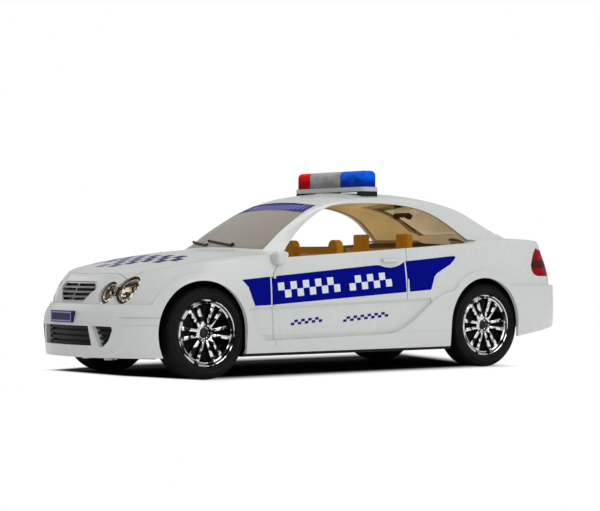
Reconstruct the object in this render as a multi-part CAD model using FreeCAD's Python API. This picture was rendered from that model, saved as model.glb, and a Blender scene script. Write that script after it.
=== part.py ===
import FreeCAD, Part
import math
import os

Vec = FreeCAD.Vector
os.makedirs("parts", exist_ok=True)

# Toy police coupe, millimetres. +X is the nose, +Y the left side, +Z up, z = 0 the floor,
# x = 0 half way along the body.

# shell
wall = 1.8
sill_z = 10.5
bumper_low_z = 9.6
valance_front_z = 13.6
valance_rear_z = 19.4
front_ledge_z = 31.6
rear_ledge_z = 37.6
groove_depth = 0.45
groove_width = 0.55
panel_depth = 0.7
shoulder_y = 40.0
shoulder_fall = 0.15
bonnet_cut_x = 114.0
bonnet_cut_y = 26.5
bonnet_cut_bow = 3.0

# door handle
handle_x = -12.1
handle_z = 49.3
handle_dish_radius = 5.6
handle_dish_depth = 1.0
handle_length = 9.0
handle_height = 1.3
handle_proud = 0.4

# grille
grille_bottom = 32.2
grille_top = 41.1
grille_low_half = 11.4
grille_high_half = 14.7
grille_corner = 2.6
grille_rim = 0.9
grille_back_x = 115.6
grille_slats = 4
slat_height = 0.8

# bumper intakes
intake_low_z = 14.6
intake_high_z = 22.8
intake_low_half = 18.6
intake_high_half = 17.4
intake_strut = 1.8
side_intake_width = 9.2
intake_bars = 3
intake_bar_height = 1.0
intake_back_x = 117.0
side_intake_back_x = 100.0

# headlamps: two leaning ovals a side, as seen from the front
lamp_outer_y = 28.2
lamp_outer_z = 37.5
lamp_outer_across = 4.2
lamp_outer_up = 5.8
lamp_inner_y = 20.9
lamp_inner_z = 36.4
lamp_inner_across = 3.5
lamp_inner_up = 4.7
lamp_lean = 12.0
lamp_back_x = 108.5

# wheels
front_axle_x = 85.0
rear_axle_x = -72.0
tyre_radius = 19.5
tyre_width = 14.0
wheel_face_y = 43.5
rim_radius = 14.4
rim_recess = 0.8
hub_radius = 4.2
hub_cap_depth = 4.6
spoke_pairs = 6
spoke_width = 1.2
spoke_splay = 7.0
axle_radius = 1.5
axle_clearance = 0.1
arch_radius = 22.0
arch_edge_y = 44.6
arch_open_radius = 21.1
arch_open_z = 20.4
front_arch_x = 88.2
rear_arch_x = -68.2
well_shift = 1.6
flare_width = 3.4
liner_gap = 0.4
liner_wall = 1.2
wheel_inner_gap = 1.3

# fits
fit_gap = 0.3
glass_recess = 0.3
glass_thickness = 1.1
lining_thickness = 1.0
lining_reveal = 0.8
lens_recess = 0.15
lens_thickness = 0.9
tail_lamp_depth = 2.6
wiper_width = 0.9
wiper_height = 0.7

# base plate and drive box
plate_thickness = 1.5
screw_x = 112.0
screw_y = 9.0
screw_tail_x = -104.0
screw_shank_radius = 1.2
screw_head_radius = 2.4
screw_head_height = 1.2
screw_hole_radius = 1.4
boss_radius = 3.2
box_half_width = 14.5
box_front_x = -50.0
box_top_z = 25.0
box_gap = 1.0
belly_x = -41.5
belly_top_radius = 10.5
belly_low_radius = 6.0
belly_floor_z = 3.4
belly_neck = 1.5
screw_reach = 7.0
screw_tail_y = 14.0
tail_tray_top = 19.6
tail_tray_split = 19.2
screw_post_head = 45.2
screw_tail_post_head = 59.2

# cabin
tub_floor_z = 24.0
tub_wall = 1.2
tub_half_width = 35.0
tub_front_x = 44.0
tub_rear_x = -49.0
shelf_z = 55.5
front_seat_x = -1.4
rear_seat_x = -44.5
seat_y = 16.4
headrest_z = 59.0
rear_headrest_z = 62.0
rear_seat_y = 16.0
bench_half_width = 25.0
tub_side_z = 47.0
tub_leg_y = 20.0
shelf_half_width = 31.0
shelf_back_x = -94.0
dash_z = 42.0
dash_top_z = 51.5
dash_half_width = 33.4
steering_x = 28.0
steering_y = 17.0
steering_z = 47.0
steering_radius = 5.6

# light bar
bar_x = -16.5
bar_depth = 9.2
bar_half_width = 25.7
bar_base_z = 81.2
bar_base_height = 2.0
bar_lens_height = 7.5
bar_lens_corner = 2.6
bar_lens_crown = 2.2
bar_grey_left = 8.7
bar_grey_right = -14.6
bar_peg_radius = 2.2

# mirrors
mirror_x = 49.8
mirror_y = 44.6
mirror_z = 50.7
mirror_half_length = 2.6
mirror_half_width = 3.2
mirror_half_height = 2.9

# number plates
front_plate_half = 8.6
rear_plate_half = 9.8
plate_face_x = 130.4
plate_pocket = 1.9
front_plate_z = 24.0
front_plate_height = 4.8
rear_plate_x = -128.4
rear_plate_z = 42.6
rear_plate_height = 5.6

tyre_inner_y = wheel_face_y - tyre_width
plate_z = sill_z - plate_thickness
liner_radius = arch_radius + liner_gap
well_y = tyre_inner_y - wheel_inner_gap - liner_wall
tray_split_x = rear_axle_x - tail_tray_split
box_back_x = tray_split_x + plate_thickness + box_gap
screw_places = [(screw_x, screw_y), (screw_x, -screw_y), (screw_tail_x, screw_tail_y),
                (screw_tail_x, -screw_tail_y)]
tub_floor_top = tub_floor_z + tub_wall

# Half outline of the nose and of the tail in plan: distance behind the end, and the part
# of the half width reached there.
nose_shape = [(0.0, 0.0), (0.5, 0.215), (2.9, 0.43), (7.1, 0.61), (12.6, 0.77), (19.5, 0.882),
              (29.0, 0.95), (44.0, 0.982)]
tail_shape = [(47.0, 0.992), (32.0, 0.972), (20.5, 0.925), (12.2, 0.838), (6.4, 0.71),
              (2.7, 0.52), (0.7, 0.27), (0.0, 0.0)]

# Heights of the plan outlines: z, nose x, tail x, half width.
core_levels = [(6.0, 122.8, -125.5, 43.2), (16.0, 125.2, -127.6, 45.1), (26.0, 125.8, -128.6, 45.8),
               (34.0, 125.0, -128.6, 45.8), (41.0, 121.2, -128.2, 45.3), (47.0, 115.6, -127.0, 44.4),
               (53.0, 109.0, -125.2, 43.0), (60.0, 101.5, -122.8, 40.8)]
wide_levels = [(6.0, 127.4, -127.8, 45.0), (12.0, 129.0, -129.6, 46.1), (18.0, 129.4, -130.2, 46.7),
               (26.0, 129.3, -130.4, 47.0), (29.0, 128.0, -130.4, 47.0), (32.0, 125.8, -130.3, 47.0),
               (36.0, 123.8, -130.2, 46.9), (41.0, 121.4, -129.8, 46.5), (48.0, 115.6, -128.4, 45.5)]

# Bonnet, sill of the windows and boot lid: x, height on the middle line, height at the edge.
deck_profile = [(136.0, 31.6, 28.0), (127.0, 38.6, 35.2), (121.5, 42.2, 38.8), (112.6, 45.4, 42.4),
                (100.0, 48.4, 45.8), (85.0, 51.4, 48.7), (69.0, 53.7, 50.6), (52.0, 55.0, 51.7),
                (40.0, 55.9, 52.5), (28.0, 56.8, 53.3), (0.0, 58.4, 55.0), (-40.0, 59.8, 57.3),
                (-75.0, 60.6, 58.9), (-98.0, 60.6, 59.1), (-110.0, 59.9, 58.2), (-118.0, 58.9, 57.0),
                (-124.0, 57.6, 55.6), (-136.0, 52.8, 50.8)]
deck_edge_y = 43.0

# Windscreen, roof and rear window: x, middle height, rail y, rail z, foot y.
cabin_stations = [(60.0, 52.0, 26.0, 50.4, 35.6), (52.5, 56.2, 27.4, 53.2, 37.0),
                  (46.5, 60.2, 28.6, 56.4, 38.2), (38.0, 65.3, 28.6, 61.6, 39.1),
                  (30.0, 69.6, 28.2, 66.0, 39.7), (20.5, 74.2, 27.8, 71.0, 40.2),
                  (12.0, 77.3, 27.9, 74.1, 40.6), (0.0, 79.7, 28.4, 76.6, 41.0),
                  (-20.0, 80.9, 29.0, 77.8, 41.2), (-40.0, 80.3, 29.0, 77.2, 41.0),
                  (-57.0, 78.2, 28.3, 74.9, 40.5), (-72.0, 74.6, 27.0, 71.2, 39.6),
                  (-86.0, 69.0, 25.8, 65.3, 38.2), (-96.0, 65.0, 25.2, 61.6, 36.8),
                  (-104.0, 61.8, 24.8, 58.6, 35.2), (-114.0, 57.8, 24.0, 55.0, 33.0)]
cabin_foot_z = 50.0
cabin_base_z = 44.0


def offset_points(points, distance, closed):
    """Points moved to the right of the walking direction by the distance."""
    moved = []
    count = len(points)
    for i, (a, b) in enumerate(points):
        if closed:
            before = points[i - 1]
            after = points[(i + 1) % count]
        else:
            before = points[max(i - 1, 0)]
            after = points[min(i + 1, count - 1)]
        da = after[0] - before[0]
        db = after[1] - before[1]
        length = math.hypot(da, db)
        moved.append((a + distance * db / length, b - distance * da / length))
    return moved


def plan_points(nose, tail, half_width):
    half = [(nose - back, part * half_width) for back, part in nose_shape]
    for x in (55.0, 25.0, -5.0, -35.0, -60.0):
        half.append((x, half_width * (1.0 - 0.004 * abs(x + 5.0) / 60.0)))
    half += [(tail + ahead, part * half_width) for ahead, part in tail_shape]
    return half + [(x, -y) for x, y in reversed(half[1:-1])]


def plan_wire(level, inset):
    z, nose, tail, half_width = level
    points = plan_points(nose, tail, half_width)
    points = offset_points(points, -inset, True)
    curve = Part.BSplineCurve()
    curve.interpolate(Points=[Vec(x, y, z) for x, y in points], PeriodicFlag=True)
    return Part.Wire([curve.toShape()])


def plan_solid(levels, inset):
    return Part.makeLoft([plan_wire(level, inset) for level in levels], True, False)


def deck_wire(y, inset):
    blend = min(abs(y) / deck_edge_y, 1.0) ** 2.6
    shoulder = shoulder_fall * max(abs(y) - shoulder_y, 0.0) ** 2
    points = [(x, middle + (edge - middle) * blend - shoulder) for x, middle, edge in deck_profile]
    points = offset_points(points, -inset, False)
    curve = Part.BSplineCurve()
    curve.interpolate(Points=[Vec(x, y, z) for x, z in points])
    first = Vec(points[0][0], y, points[0][1])
    last = Vec(points[-1][0], y, points[-1][1])
    low_first = Vec(first.x, y, 0.0)
    low_last = Vec(last.x, y, 0.0)
    edges = [curve.toShape(), Part.makeLine(last, low_last), Part.makeLine(low_last, low_first),
             Part.makeLine(low_first, first)]
    return Part.Wire(edges)


def deck_solid(inset):
    half = (12.0, 24.0, 34.0, 40.0, 42.5, 44.5, 47.0)
    rows = [-y for y in reversed(half)] + [0.0] + list(half)
    return Part.makeLoft([deck_wire(y, inset) for y in rows], True, False)


def cabin_wire(index, inset):
    x, height, rail_y, rail_z, foot_y = cabin_stations[index]
    ahead = cabin_stations[max(index - 1, 0)]
    behind = cabin_stations[min(index + 1, len(cabin_stations) - 1)]
    slope = (ahead[1] - behind[1]) / (ahead[0] - behind[0])
    foot_z = min(cabin_foot_z, rail_z - 2.0)
    drop = height - rail_z
    half = [(0.0, height), (0.35 * rail_y, height - 0.08 * drop), (0.65 * rail_y, height - 0.3 * drop),
            (0.88 * rail_y, height - 0.65 * drop), (rail_y + 0.4, rail_z - 0.4)]
    for part in (0.2, 0.45, 0.72):
        y = rail_y + (foot_y - rail_y) * (part + 0.1 * part * (1.0 - part))
        half.append((y, rail_z + (foot_z - rail_z) * part))
    half.append((foot_y, foot_z))
    points = [(-y, z) for y, z in reversed(half[1:])] + half
    moved = []
    for (y, z), (side_y, side_z) in zip(points, offset_points(points, 1.0, False)):
        normal_z = z - side_z
        reach = inset * math.sqrt(1.0 + (slope * normal_z) ** 2)
        moved.append((y + (side_y - y) * reach, z + (side_z - z) * reach))
    curve = Part.BSplineCurve()
    curve.interpolate(Points=[Vec(x, y, z) for y, z in moved])
    first = Vec(x, moved[0][0], moved[0][1])
    last = Vec(x, moved[-1][0], moved[-1][1])
    low_first = Vec(x, first.y, cabin_base_z)
    low_last = Vec(x, last.y, cabin_base_z)
    edges = [curve.toShape(), Part.makeLine(last, low_last), Part.makeLine(low_last, low_first),
             Part.makeLine(low_first, first)]
    return Part.Wire(edges)


def cabin_solid(inset):
    wires = [cabin_wire(i, inset) for i in range(len(cabin_stations))]
    return Part.makeLoft(wires, True, False)


def prism_xz(edges, y0, y1):
    face = Part.Face(Part.Wire(edges))
    face.translate(Vec(0, y0, 0))
    return face.extrude(Vec(0, y1 - y0, 0))


def line(a, b):
    return Part.makeLine(a, b)


def arc(a, b, c):
    return Part.Arc(a, b, c).toShape()


def polygon_xz(points):
    corners = [Vec(x, 0, z) for x, z in points]
    return [line(a, b) for a, b in zip(corners, corners[1:] + corners[:1])]


def polygon_prism_x(points, x0, x1):
    corners = [Vec(x0, y, z) for y, z in points]
    wire = Part.makePolygon(corners + corners[:1])
    return Part.Face(wire).extrude(Vec(x1 - x0, 0, 0))


def box(x0, x1, y0, y1, z0, z1):
    return Part.makeBox(x1 - x0, y1 - y0, z1 - z0, Vec(x0, y0, z0))


def rounded_box(x0, x1, y0, y1, z0, z1, radius):
    block = box(x0, x1, y0, y1, z0, z1)
    return block.makeFillet(radius, block.Edges)


def cylinder_y(x, z, radius, y0, y1):
    return Part.makeCylinder(radius, y1 - y0, Vec(x, y0, z), Vec(0, 1, 0))


def cylinder_z(x, y, radius, z0, z1):
    return Part.makeCylinder(radius, z1 - z0, Vec(x, y, z0), Vec(0, 0, 1))


def mirrored(shape):
    return shape.mirror(Vec(0, 0, 0), Vec(0, 1, 0))


def both_sides(shape):
    return shape.fuse(mirrored(shape))


def step_region():
    """Side view of what stands proud: bumpers, arch flares and sill skirt."""
    flare = arch_open_radius + flare_width
    front_reach = math.sqrt(flare ** 2 - (front_ledge_z - arch_open_z) ** 2)
    rear_reach = math.sqrt(flare ** 2 - (rear_ledge_z - arch_open_z) ** 2)
    a = Vec(front_arch_x + front_reach, 0, front_ledge_z)
    b = Vec(front_arch_x, 0, arch_open_z + flare)
    c = Vec(front_arch_x - flare * 0.92, 0, arch_open_z + flare * 0.392)
    skirt_z = sill_z + 5.2
    d = Vec(front_arch_x - flare - 1.5, 0, skirt_z + 4.0)
    e = Vec(front_arch_x - flare - 6.5, 0, skirt_z)
    f = Vec(rear_arch_x + 60.0, 0, skirt_z + 1.2)
    g = Vec(rear_arch_x + 45.3, 0, skirt_z + 5.9)
    h = Vec(rear_arch_x + 32.9, 0, skirt_z + 14.7)
    i = Vec(rear_arch_x + flare * 0.78, 0, arch_open_z + flare * 0.626)
    j = Vec(rear_arch_x, 0, arch_open_z + flare)
    k = Vec(rear_arch_x - rear_reach, 0, rear_ledge_z)
    rise = Part.BSplineCurve()
    rise.interpolate(Points=[f, g, h, i])
    edges = [line(Vec(140, 0, front_ledge_z), a), arc(a, b, c), line(c, d), line(d, e), line(e, f),
             rise.toShape(), arc(i, j, k), line(k, Vec(-140, 0, rear_ledge_z)),
             line(Vec(-140, 0, rear_ledge_z), Vec(-140, 0, 0)), line(Vec(-140, 0, 0), Vec(140, 0, 0)),
             line(Vec(140, 0, 0), Vec(140, 0, front_ledge_z))]
    return prism_xz(edges, -60, 60)


def below_cutter():
    """What lies below the sills, the front bumper and the rising rear valance."""
    low = box(-140, front_arch_x, -60, 60, -5, sill_z)
    nose = box(front_arch_x - 1, 140, -60, 60, -5, bumper_low_z)
    tail_x = rear_arch_x - arch_open_radius + 3.0
    slope = (valance_rear_z - valance_front_z) / (tail_x - core_levels[2][2])
    tail = prism_xz(polygon_xz([(tail_x, -5), (tail_x, valance_front_z),
                                (-140.0, valance_front_z + slope * (tail_x + 140.0)), (-140.0, -5)]), -60, 60)
    return low.fuse([nose, tail])


def side_panel_region():
    """Lower door panel in side view, below the swage line."""
    points = [(front_arch_x - arch_open_radius - 4.0, sill_z + 1.0), (front_arch_x - 20.0, 29.8),
              (rear_arch_x + 33.0, 32.7), (rear_arch_x + 26.0, sill_z + 1.0)]
    return prism_xz(polygon_xz(points), -60, 60)


def core_solid(inset):
    """Lower body without the stepped parts, moved in by the inset."""
    return plan_solid(core_levels, inset).common(deck_solid(inset))


def side_window_prism(grow):
    low_front = Vec(43.4 + grow, 0, 51.1 - grow)
    low_rear = Vec(-65.6 - grow, 0, 57.7 - grow)
    tip = Vec(-67.6 - grow, 0, 58.8)
    pillar = Part.BSplineCurve()
    pillar.interpolate(Points=[low_front, Vec(28.4 + grow, 0, 63.4 + grow), Vec(17.0 + grow, 0, 70.8 + grow),
                               Vec(9.0 + grow, 0, 74.2 + grow)])
    roof = Part.BSplineCurve()
    roof.interpolate(Points=[Vec(9.0 + grow, 0, 74.2 + grow), Vec(0.5, 0, 75.2 + grow), Vec(-9.0, 0, 75.6 + grow),
                             Vec(-20.0, 0, 75.5 + grow), Vec(-31.5, 0, 74.7 + grow),
                             Vec(-42.5, 0, 72.7 + grow), Vec(-52.5 - grow, 0, 68.9 + grow),
                             Vec(-61.0 - grow, 0, 63.4 + grow), tip])
    edges = [pillar.toShape(), roof.toShape(), line(tip, low_rear), line(low_rear, low_front)]
    return prism_xz(edges, 20, 60).fuse(prism_xz(edges, -60, -20))


def windscreen_prism(grow):
    points = [(-30.4 - grow, 54.6 - grow), (-16.0, 55.3 - grow), (0.0, 55.6 - grow),
              (16.0, 55.3 - grow), (30.4 + grow, 54.6 - grow), (24.8 + grow, 74.4 + grow),
              (12.0, 75.6 + grow), (0.0, 76.0 + grow), (-12.0, 75.6 + grow), (-24.8 - grow, 74.4 + grow)]
    return polygon_prism_x(points, 5, 70)


def rear_window_prism(grow):
    points = [(-25.6 - grow, 62.0 - grow), (0.0, 62.8 - grow), (25.6 + grow, 62.0 - grow),
              (23.4 + grow, 74.6 + grow), (10.0, 76.2 + grow), (0.0, 76.6 + grow),
              (-10.0, 76.2 + grow), (-23.4 - grow, 74.6 + grow)]
    return polygon_prism_x(points, -48, -118)


def leaning_oval(y, z, half_across, half_up):
    """Oval rod along X that leans outwards at its top."""
    centre = Vec(lamp_back_x - 8.0, y, z)
    lean = math.radians(lamp_lean)
    up = Vec(0, math.sin(lean), math.cos(lean))
    across = Vec(0, math.cos(lean), -math.sin(lean))
    curve = Part.Ellipse(centre + up * half_up, centre + across * half_across, centre)
    face = Part.Face(Part.Wire([curve.toShape()]))
    return face.extrude(Vec(40.0, 0, 0))


def headlamp_ovals(shrink):
    outer = leaning_oval(lamp_outer_y, lamp_outer_z, lamp_outer_across - shrink, lamp_outer_up - shrink)
    inner = leaning_oval(lamp_inner_y, lamp_inner_z, lamp_inner_across - shrink, lamp_inner_up - shrink)
    return outer, inner


def tail_lamp_prism():
    points = [(-108.4, 55.4), (-105.4, 53.2), (-102.9, 50.4), (-101.2, 47.4), (-101.1, 44.9),
              (-102.5, 43.0), (-105.4, 42.1), (-140.0, 41.6), (-140.0, 52.6), (-117.0, 53.6)]
    return prism_xz(polygon_xz(points), 24.0, 60.0)


def grille_outline(inset):
    """Front view of the grille: wider above, with clipped corners."""
    low = grille_bottom + inset
    high = grille_top - inset
    low_half = grille_low_half - inset
    high_half = grille_high_half - inset
    half = [(low_half - grille_corner, low), (low_half + 0.3, low + grille_corner),
            (high_half, high - grille_corner), (high_half - grille_corner, high)]
    return half + [(-y, z) for y, z in reversed(half)]


def grille_prism():
    return polygon_prism_x(grille_outline(0.0), grille_back_x, 135)


def intake_prisms():
    middle = polygon_prism_x([(-intake_low_half, intake_low_z), (intake_low_half, intake_low_z),
                              (intake_high_half, intake_high_z), (-intake_high_half, intake_high_z)],
                             intake_back_x, 135)
    inner = intake_high_half + intake_strut
    outer = inner + side_intake_width
    side = polygon_prism_x([(inner, intake_high_z), (outer - 0.4, intake_high_z - 0.2),
                            (outer, intake_high_z - 1.6), (outer - 1.8, intake_low_z + 2.2),
                            (outer - 4.4, intake_low_z - 0.4), (inner + 2.8, intake_low_z - 0.4)],
                           side_intake_back_x, 135)
    return middle, side, mirrored(side)


def wheel_wells():
    """Room for the wheels inside the body."""
    side = [cylinder_y(axle_x + well_shift, tyre_radius, arch_radius, well_y, arch_edge_y)
            for axle_x in (front_axle_x, rear_axle_x)]
    return side + [mirrored(drum) for drum in side]


def arch_openings():
    """Arches in the outer skin, round above and straight down to the sill."""
    side = []
    for x in (front_arch_x, rear_arch_x):
        left = Vec(x - arch_open_radius, 0, arch_open_z)
        right = Vec(x + arch_open_radius, 0, arch_open_z)
        low_right = Vec(right.x, 0, 0)
        low_left = Vec(left.x, 0, 0)
        edges = [arc(left, Vec(x, 0, arch_open_z + arch_open_radius), right), line(right, low_right),
                 line(low_right, low_left), line(low_left, left)]
        side.append(prism_xz(edges, arch_edge_y - 3.0, 60))
    return side + [mirrored(opening) for opening in side]


def groove_bars():
    """Thin slabs that mark the door, bonnet and boot lid cuts."""
    half = groove_width / 2.0
    door_front = prism_xz(polygon_xz([(53.6 - half, 19.4), (53.6 + half, 19.4), (52.6 + half, 44.0),
                                      (46.4 + half, 52.6), (46.4 - half, 52.6), (52.6 - half, 44.0)]), 30, 60)
    door_rear = prism_xz(polygon_xz([(-20.2 - half, 20.6), (-20.2 + half, 20.6), (-23.2 + half, 57.0),
                                     (-23.2 - half, 57.0)]), 30, 60)
    door_low = prism_xz(polygon_xz([(53.6 + half, 19.4 - half), (53.6 + half, 19.4 + half),
                                    (-20.2 - half, 20.6 + half), (-20.2 - half, 20.6 - half)]), 30, 60)
    bonnet_side = polygon_plan([(bonnet_cut_x, bonnet_cut_y), (bonnet_cut_x, bonnet_cut_y + groove_width),
                                (98.0, 36.0 + groove_width), (56.0, 38.6 + groove_width), (56.0, 38.6),
                                (98.0, 36.0)], 36, 62)
    boot_side = polygon_plan([(-104.0, 29.0), (-104.0, 29.0 + groove_width), (-128.0, 26.0 + groove_width),
                              (-128.0, 26.0)], 40, 62)
    side = door_front.fuse([door_rear, door_low, bonnet_side, boot_side])
    cut_y = bonnet_cut_y + groove_width
    middle_x = bonnet_cut_x + bonnet_cut_bow
    bonnet_front = polygon_plan([(bonnet_cut_x + half, -cut_y), (middle_x + half, 0), (bonnet_cut_x + half, cut_y),
                                 (bonnet_cut_x - half, cut_y), (middle_x - half, 0),
                                 (bonnet_cut_x - half, -cut_y)], 36.0, 62)
    boot_low = box(-133, -118, -26.2, 26.2, 40.4, 40.4 + groove_width)
    return both_sides(side).fuse([bonnet_front, boot_low])


def polygon_plan(points, z0, z1):
    corners = [Vec(x, y, z0) for x, y in points]
    wire = Part.makePolygon(corners + corners[:1])
    return Part.Face(wire).extrude(Vec(0, 0, z1 - z0))


def outside_parts():
    wide = plan_solid(wide_levels, 0.0).common(step_region())
    return [core_solid(0.0), wide, cabin_solid(0.0)]


def front_plate_box(depth, front_x):
    return box(plate_face_x - depth, front_x, -front_plate_half, front_plate_half,
               front_plate_z, front_plate_z + front_plate_height)


def rear_plate_box(back_x, depth):
    return box(back_x, rear_plate_x + depth, -rear_plate_half, rear_plate_half,
               rear_plate_z, rear_plate_z + rear_plate_height)


def shell_posts():
    """Screw posts that hang from the bonnet and the boot lid down to the base plate."""
    posts = []
    for x, y in screw_places:
        foot = sill_z if x > 0 else tail_tray_top
        top = screw_post_head if x > 0 else screw_tail_post_head
        posts.append(cylinder_z(x, y, boss_radius, foot, top))
    return posts


def shell_post_bores():
    bores = []
    for x, y in screw_places:
        foot = sill_z if x > 0 else tail_tray_top
        bores.append(cylinder_z(x, y, screw_hole_radius, foot - 1.0, foot + screw_reach + fit_gap))
    return bores


def handle_dish():
    """Shallow round dish in each door, with a bar across it for the handle."""
    side_y = core_solid(0.0).common(box(handle_x - 0.1, handle_x + 0.1, 0, 60, handle_z - 0.1,
                                        handle_z + 0.1)).BoundBox.YMax
    radius = (handle_dish_radius ** 2 + handle_dish_depth ** 2) / (2.0 * handle_dish_depth)
    dish = Part.makeSphere(radius, Vec(handle_x, side_y + radius - handle_dish_depth, handle_z))
    bar = box(handle_x - handle_length / 2.0, handle_x + handle_length / 2.0, side_y - wall * 0.8,
              side_y + handle_proud, handle_z - 0.2, handle_z - 0.2 + handle_height)
    return dish, bar


def make_shell(outside):
    outer = outside[0].fuse(outside[1:])
    cavity = core_solid(wall).fuse(cabin_solid(wall)).cut(shell_posts())
    shell = outer.cut([below_cutter()] + wheel_wells() + arch_openings())
    shell = shell.cut(cavity)
    shell = shell.cut([side_window_prism(0.0), windscreen_prism(0.0), rear_window_prism(0.0)])
    ovals = headlamp_ovals(0.0)
    lamp_cut = ovals[0].fuse(ovals[1])
    dish, bar = handle_dish()
    tail = tail_lamp_prism().cut(core_solid(tail_lamp_depth))
    shell = shell.cut([lamp_cut, mirrored(lamp_cut)])
    shell = shell.cut([tail, mirrored(tail)])
    shell = shell.cut([grille_prism()] + list(intake_prisms()))
    panel = side_panel_region().cut([step_region(), core_solid(panel_depth)])
    shell = shell.cut(panel)
    shell = shell.cut(groove_bars().cut(core_solid(groove_depth)))
    shell = shell.cut([front_plate_box(plate_pocket, 140), rear_plate_box(-140, plate_pocket)])
    shell = shell.cut([dish, mirrored(dish)]).fuse([bar, mirrored(bar)])
    peg = cylinder_z(bar_x, 0, bar_peg_radius + fit_gap, 70, 95)
    return shell.cut([peg] + shell_post_bores())


def cabin_skin(inset, thickness):
    return cabin_solid(inset).cut(cabin_solid(inset + thickness))


def make_windscreen():
    return cabin_skin(glass_recess, glass_thickness).common(windscreen_prism(0.0))


def make_rear_window():
    return cabin_skin(glass_recess, glass_thickness).common(rear_window_prism(0.0))


def make_headliner():
    """Inner skin of the roof and pillars, open at every window."""
    skin = cabin_skin(wall, lining_thickness).common(box(-93.0, 10.0, -60, 60, 59.5, 90.0))
    return skin.cut([side_window_prism(lining_reveal), windscreen_prism(lining_reveal),
                     rear_window_prism(lining_reveal)])


def wiper_blade(pivot, tip):
    """Blade that lies on the windscreen, given by its two ends in front view."""
    (y0, z0), (y1, z1) = pivot, tip
    length = math.hypot(y1 - y0, z1 - z0)
    ny = -(z1 - z0) / length * wiper_width / 2.0
    nz = (y1 - y0) / length * wiper_width / 2.0
    strip = polygon_prism_x([(y0 + ny, z0 + nz), (y1 + ny, z1 + nz), (y1 - ny, z1 - nz), (y0 - ny, z0 - nz)],
                            10, 70)
    skin = cabin_solid(glass_recess - wiper_height).cut(cabin_solid(glass_recess))
    return skin.common(strip).common(windscreen_prism(0.0))


def make_headlamp_lens():
    ovals = headlamp_ovals(0.0)
    skin = core_solid(lens_recess).cut(core_solid(lens_recess + lens_thickness))
    return ovals[0].fuse(ovals[1]).common(skin)


def make_headlamp_reflector():
    """Block behind the lens with a round bowl for each lamp."""
    outer, inner = headlamp_ovals(fit_gap)
    seat = core_solid(lens_recess + lens_thickness + fit_gap)
    block = outer.fuse(inner).common(box(lamp_back_x, 140, 0, 60, 20, 60)).common(seat)
    bowls = []
    for y, z, across in ((lamp_outer_y, lamp_outer_z, lamp_outer_across),
                         (lamp_inner_y, lamp_inner_z, lamp_inner_across)):
        probe = box(lamp_back_x, 140, y - 0.1, y + 0.1, z - 0.1, z + 0.1).common(seat)
        bowls.append(Part.makeSphere(across - 2.0 * fit_gap, Vec(probe.BoundBox.XMax - 0.6, y, z)))
    return block.cut(bowls)


def make_tail_lamp():
    return tail_lamp_prism().common(core_solid(0.1)).cut(core_solid(tail_lamp_depth))


def make_grille():
    """Insert with level slats and a middle rib in front of a plain back."""
    front = grille_prism().common(core_solid(0.5)).cut(core_solid(2.0))
    back = grille_prism().common(core_solid(2.0)).cut(core_solid(3.2))
    window = polygon_prism_x(grille_outline(grille_rim), grille_back_x, 135)
    clear = grille_top - grille_bottom - 2.0 * grille_rim
    slot_height = (clear - (grille_slats - 1) * slat_height) / grille_slats
    slots = []
    for i in range(grille_slats):
        z = grille_bottom + grille_rim + i * (slot_height + slat_height)
        slots.append(box(grille_back_x, 135, slat_height / 2.0, 40, z, z + slot_height))
        slots.append(box(grille_back_x, 135, -40, -slat_height / 2.0, z, z + slot_height))
    openings = slots[0].fuse(slots[1:]).common(window)
    return front.cut(openings).fuse(back)


def make_intake(prism):
    insert = prism.common(plan_solid(wide_levels, 2.0)).cut(plan_solid(wide_levels, 4.6))
    gap = (intake_high_z - intake_low_z - intake_bars * intake_bar_height) / (intake_bars + 1.0)
    bars = []
    for i in range(intake_bars):
        z = intake_low_z + gap + i * (gap + intake_bar_height)
        bars.append(box(90, 135, -60, 60, z, z + intake_bar_height))
    return insert.cut(bars[0].fuse(bars[1:]).cut(plan_solid(wide_levels, 3.4)))


def make_mirror(outside):
    """Low rounded mirror pod that sits against the foot of the windscreen pillar."""
    head = rounded_box(mirror_x - mirror_half_length, mirror_x + mirror_half_length,
                       mirror_y - mirror_half_width, mirror_y + mirror_half_width,
                       mirror_z - mirror_half_height, mirror_z + mirror_half_height, 1.8)
    foot = box(mirror_x - 1.8, mirror_x + 1.4, mirror_y - 5.6, mirror_y - 1.0,
               mirror_z - mirror_half_height - 0.6, mirror_z - 0.4)
    return head.fuse(foot).cut(outside)


def make_plate_front():
    return front_plate_box(plate_pocket, plate_face_x)


def make_plate_rear():
    return rear_plate_box(rear_plate_x, plate_pocket)


def make_bar_base():
    x0 = bar_x - bar_depth / 2.0
    x1 = bar_x + bar_depth / 2.0
    base = box(x0, x1, -bar_half_width, bar_half_width, bar_base_z, bar_base_z + bar_base_height)
    uprights = [edge for edge in base.Edges if edge.BoundBox.ZLength > 1.0]
    base = base.makeFillet(1.5, uprights)
    return base.fuse(cylinder_z(bar_x, 0, bar_peg_radius, bar_base_z - 2.0, bar_base_z + 0.5))


def make_bar_foot():
    x0 = bar_x - bar_depth / 2.0 + 0.3
    x1 = bar_x + bar_depth / 2.0 - 0.3
    foot = box(x0, x1, bar_half_width - 4.8, bar_half_width - 0.6, bar_base_z - 4.0, bar_base_z)
    return foot.cut(cabin_solid(0.0))


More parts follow.
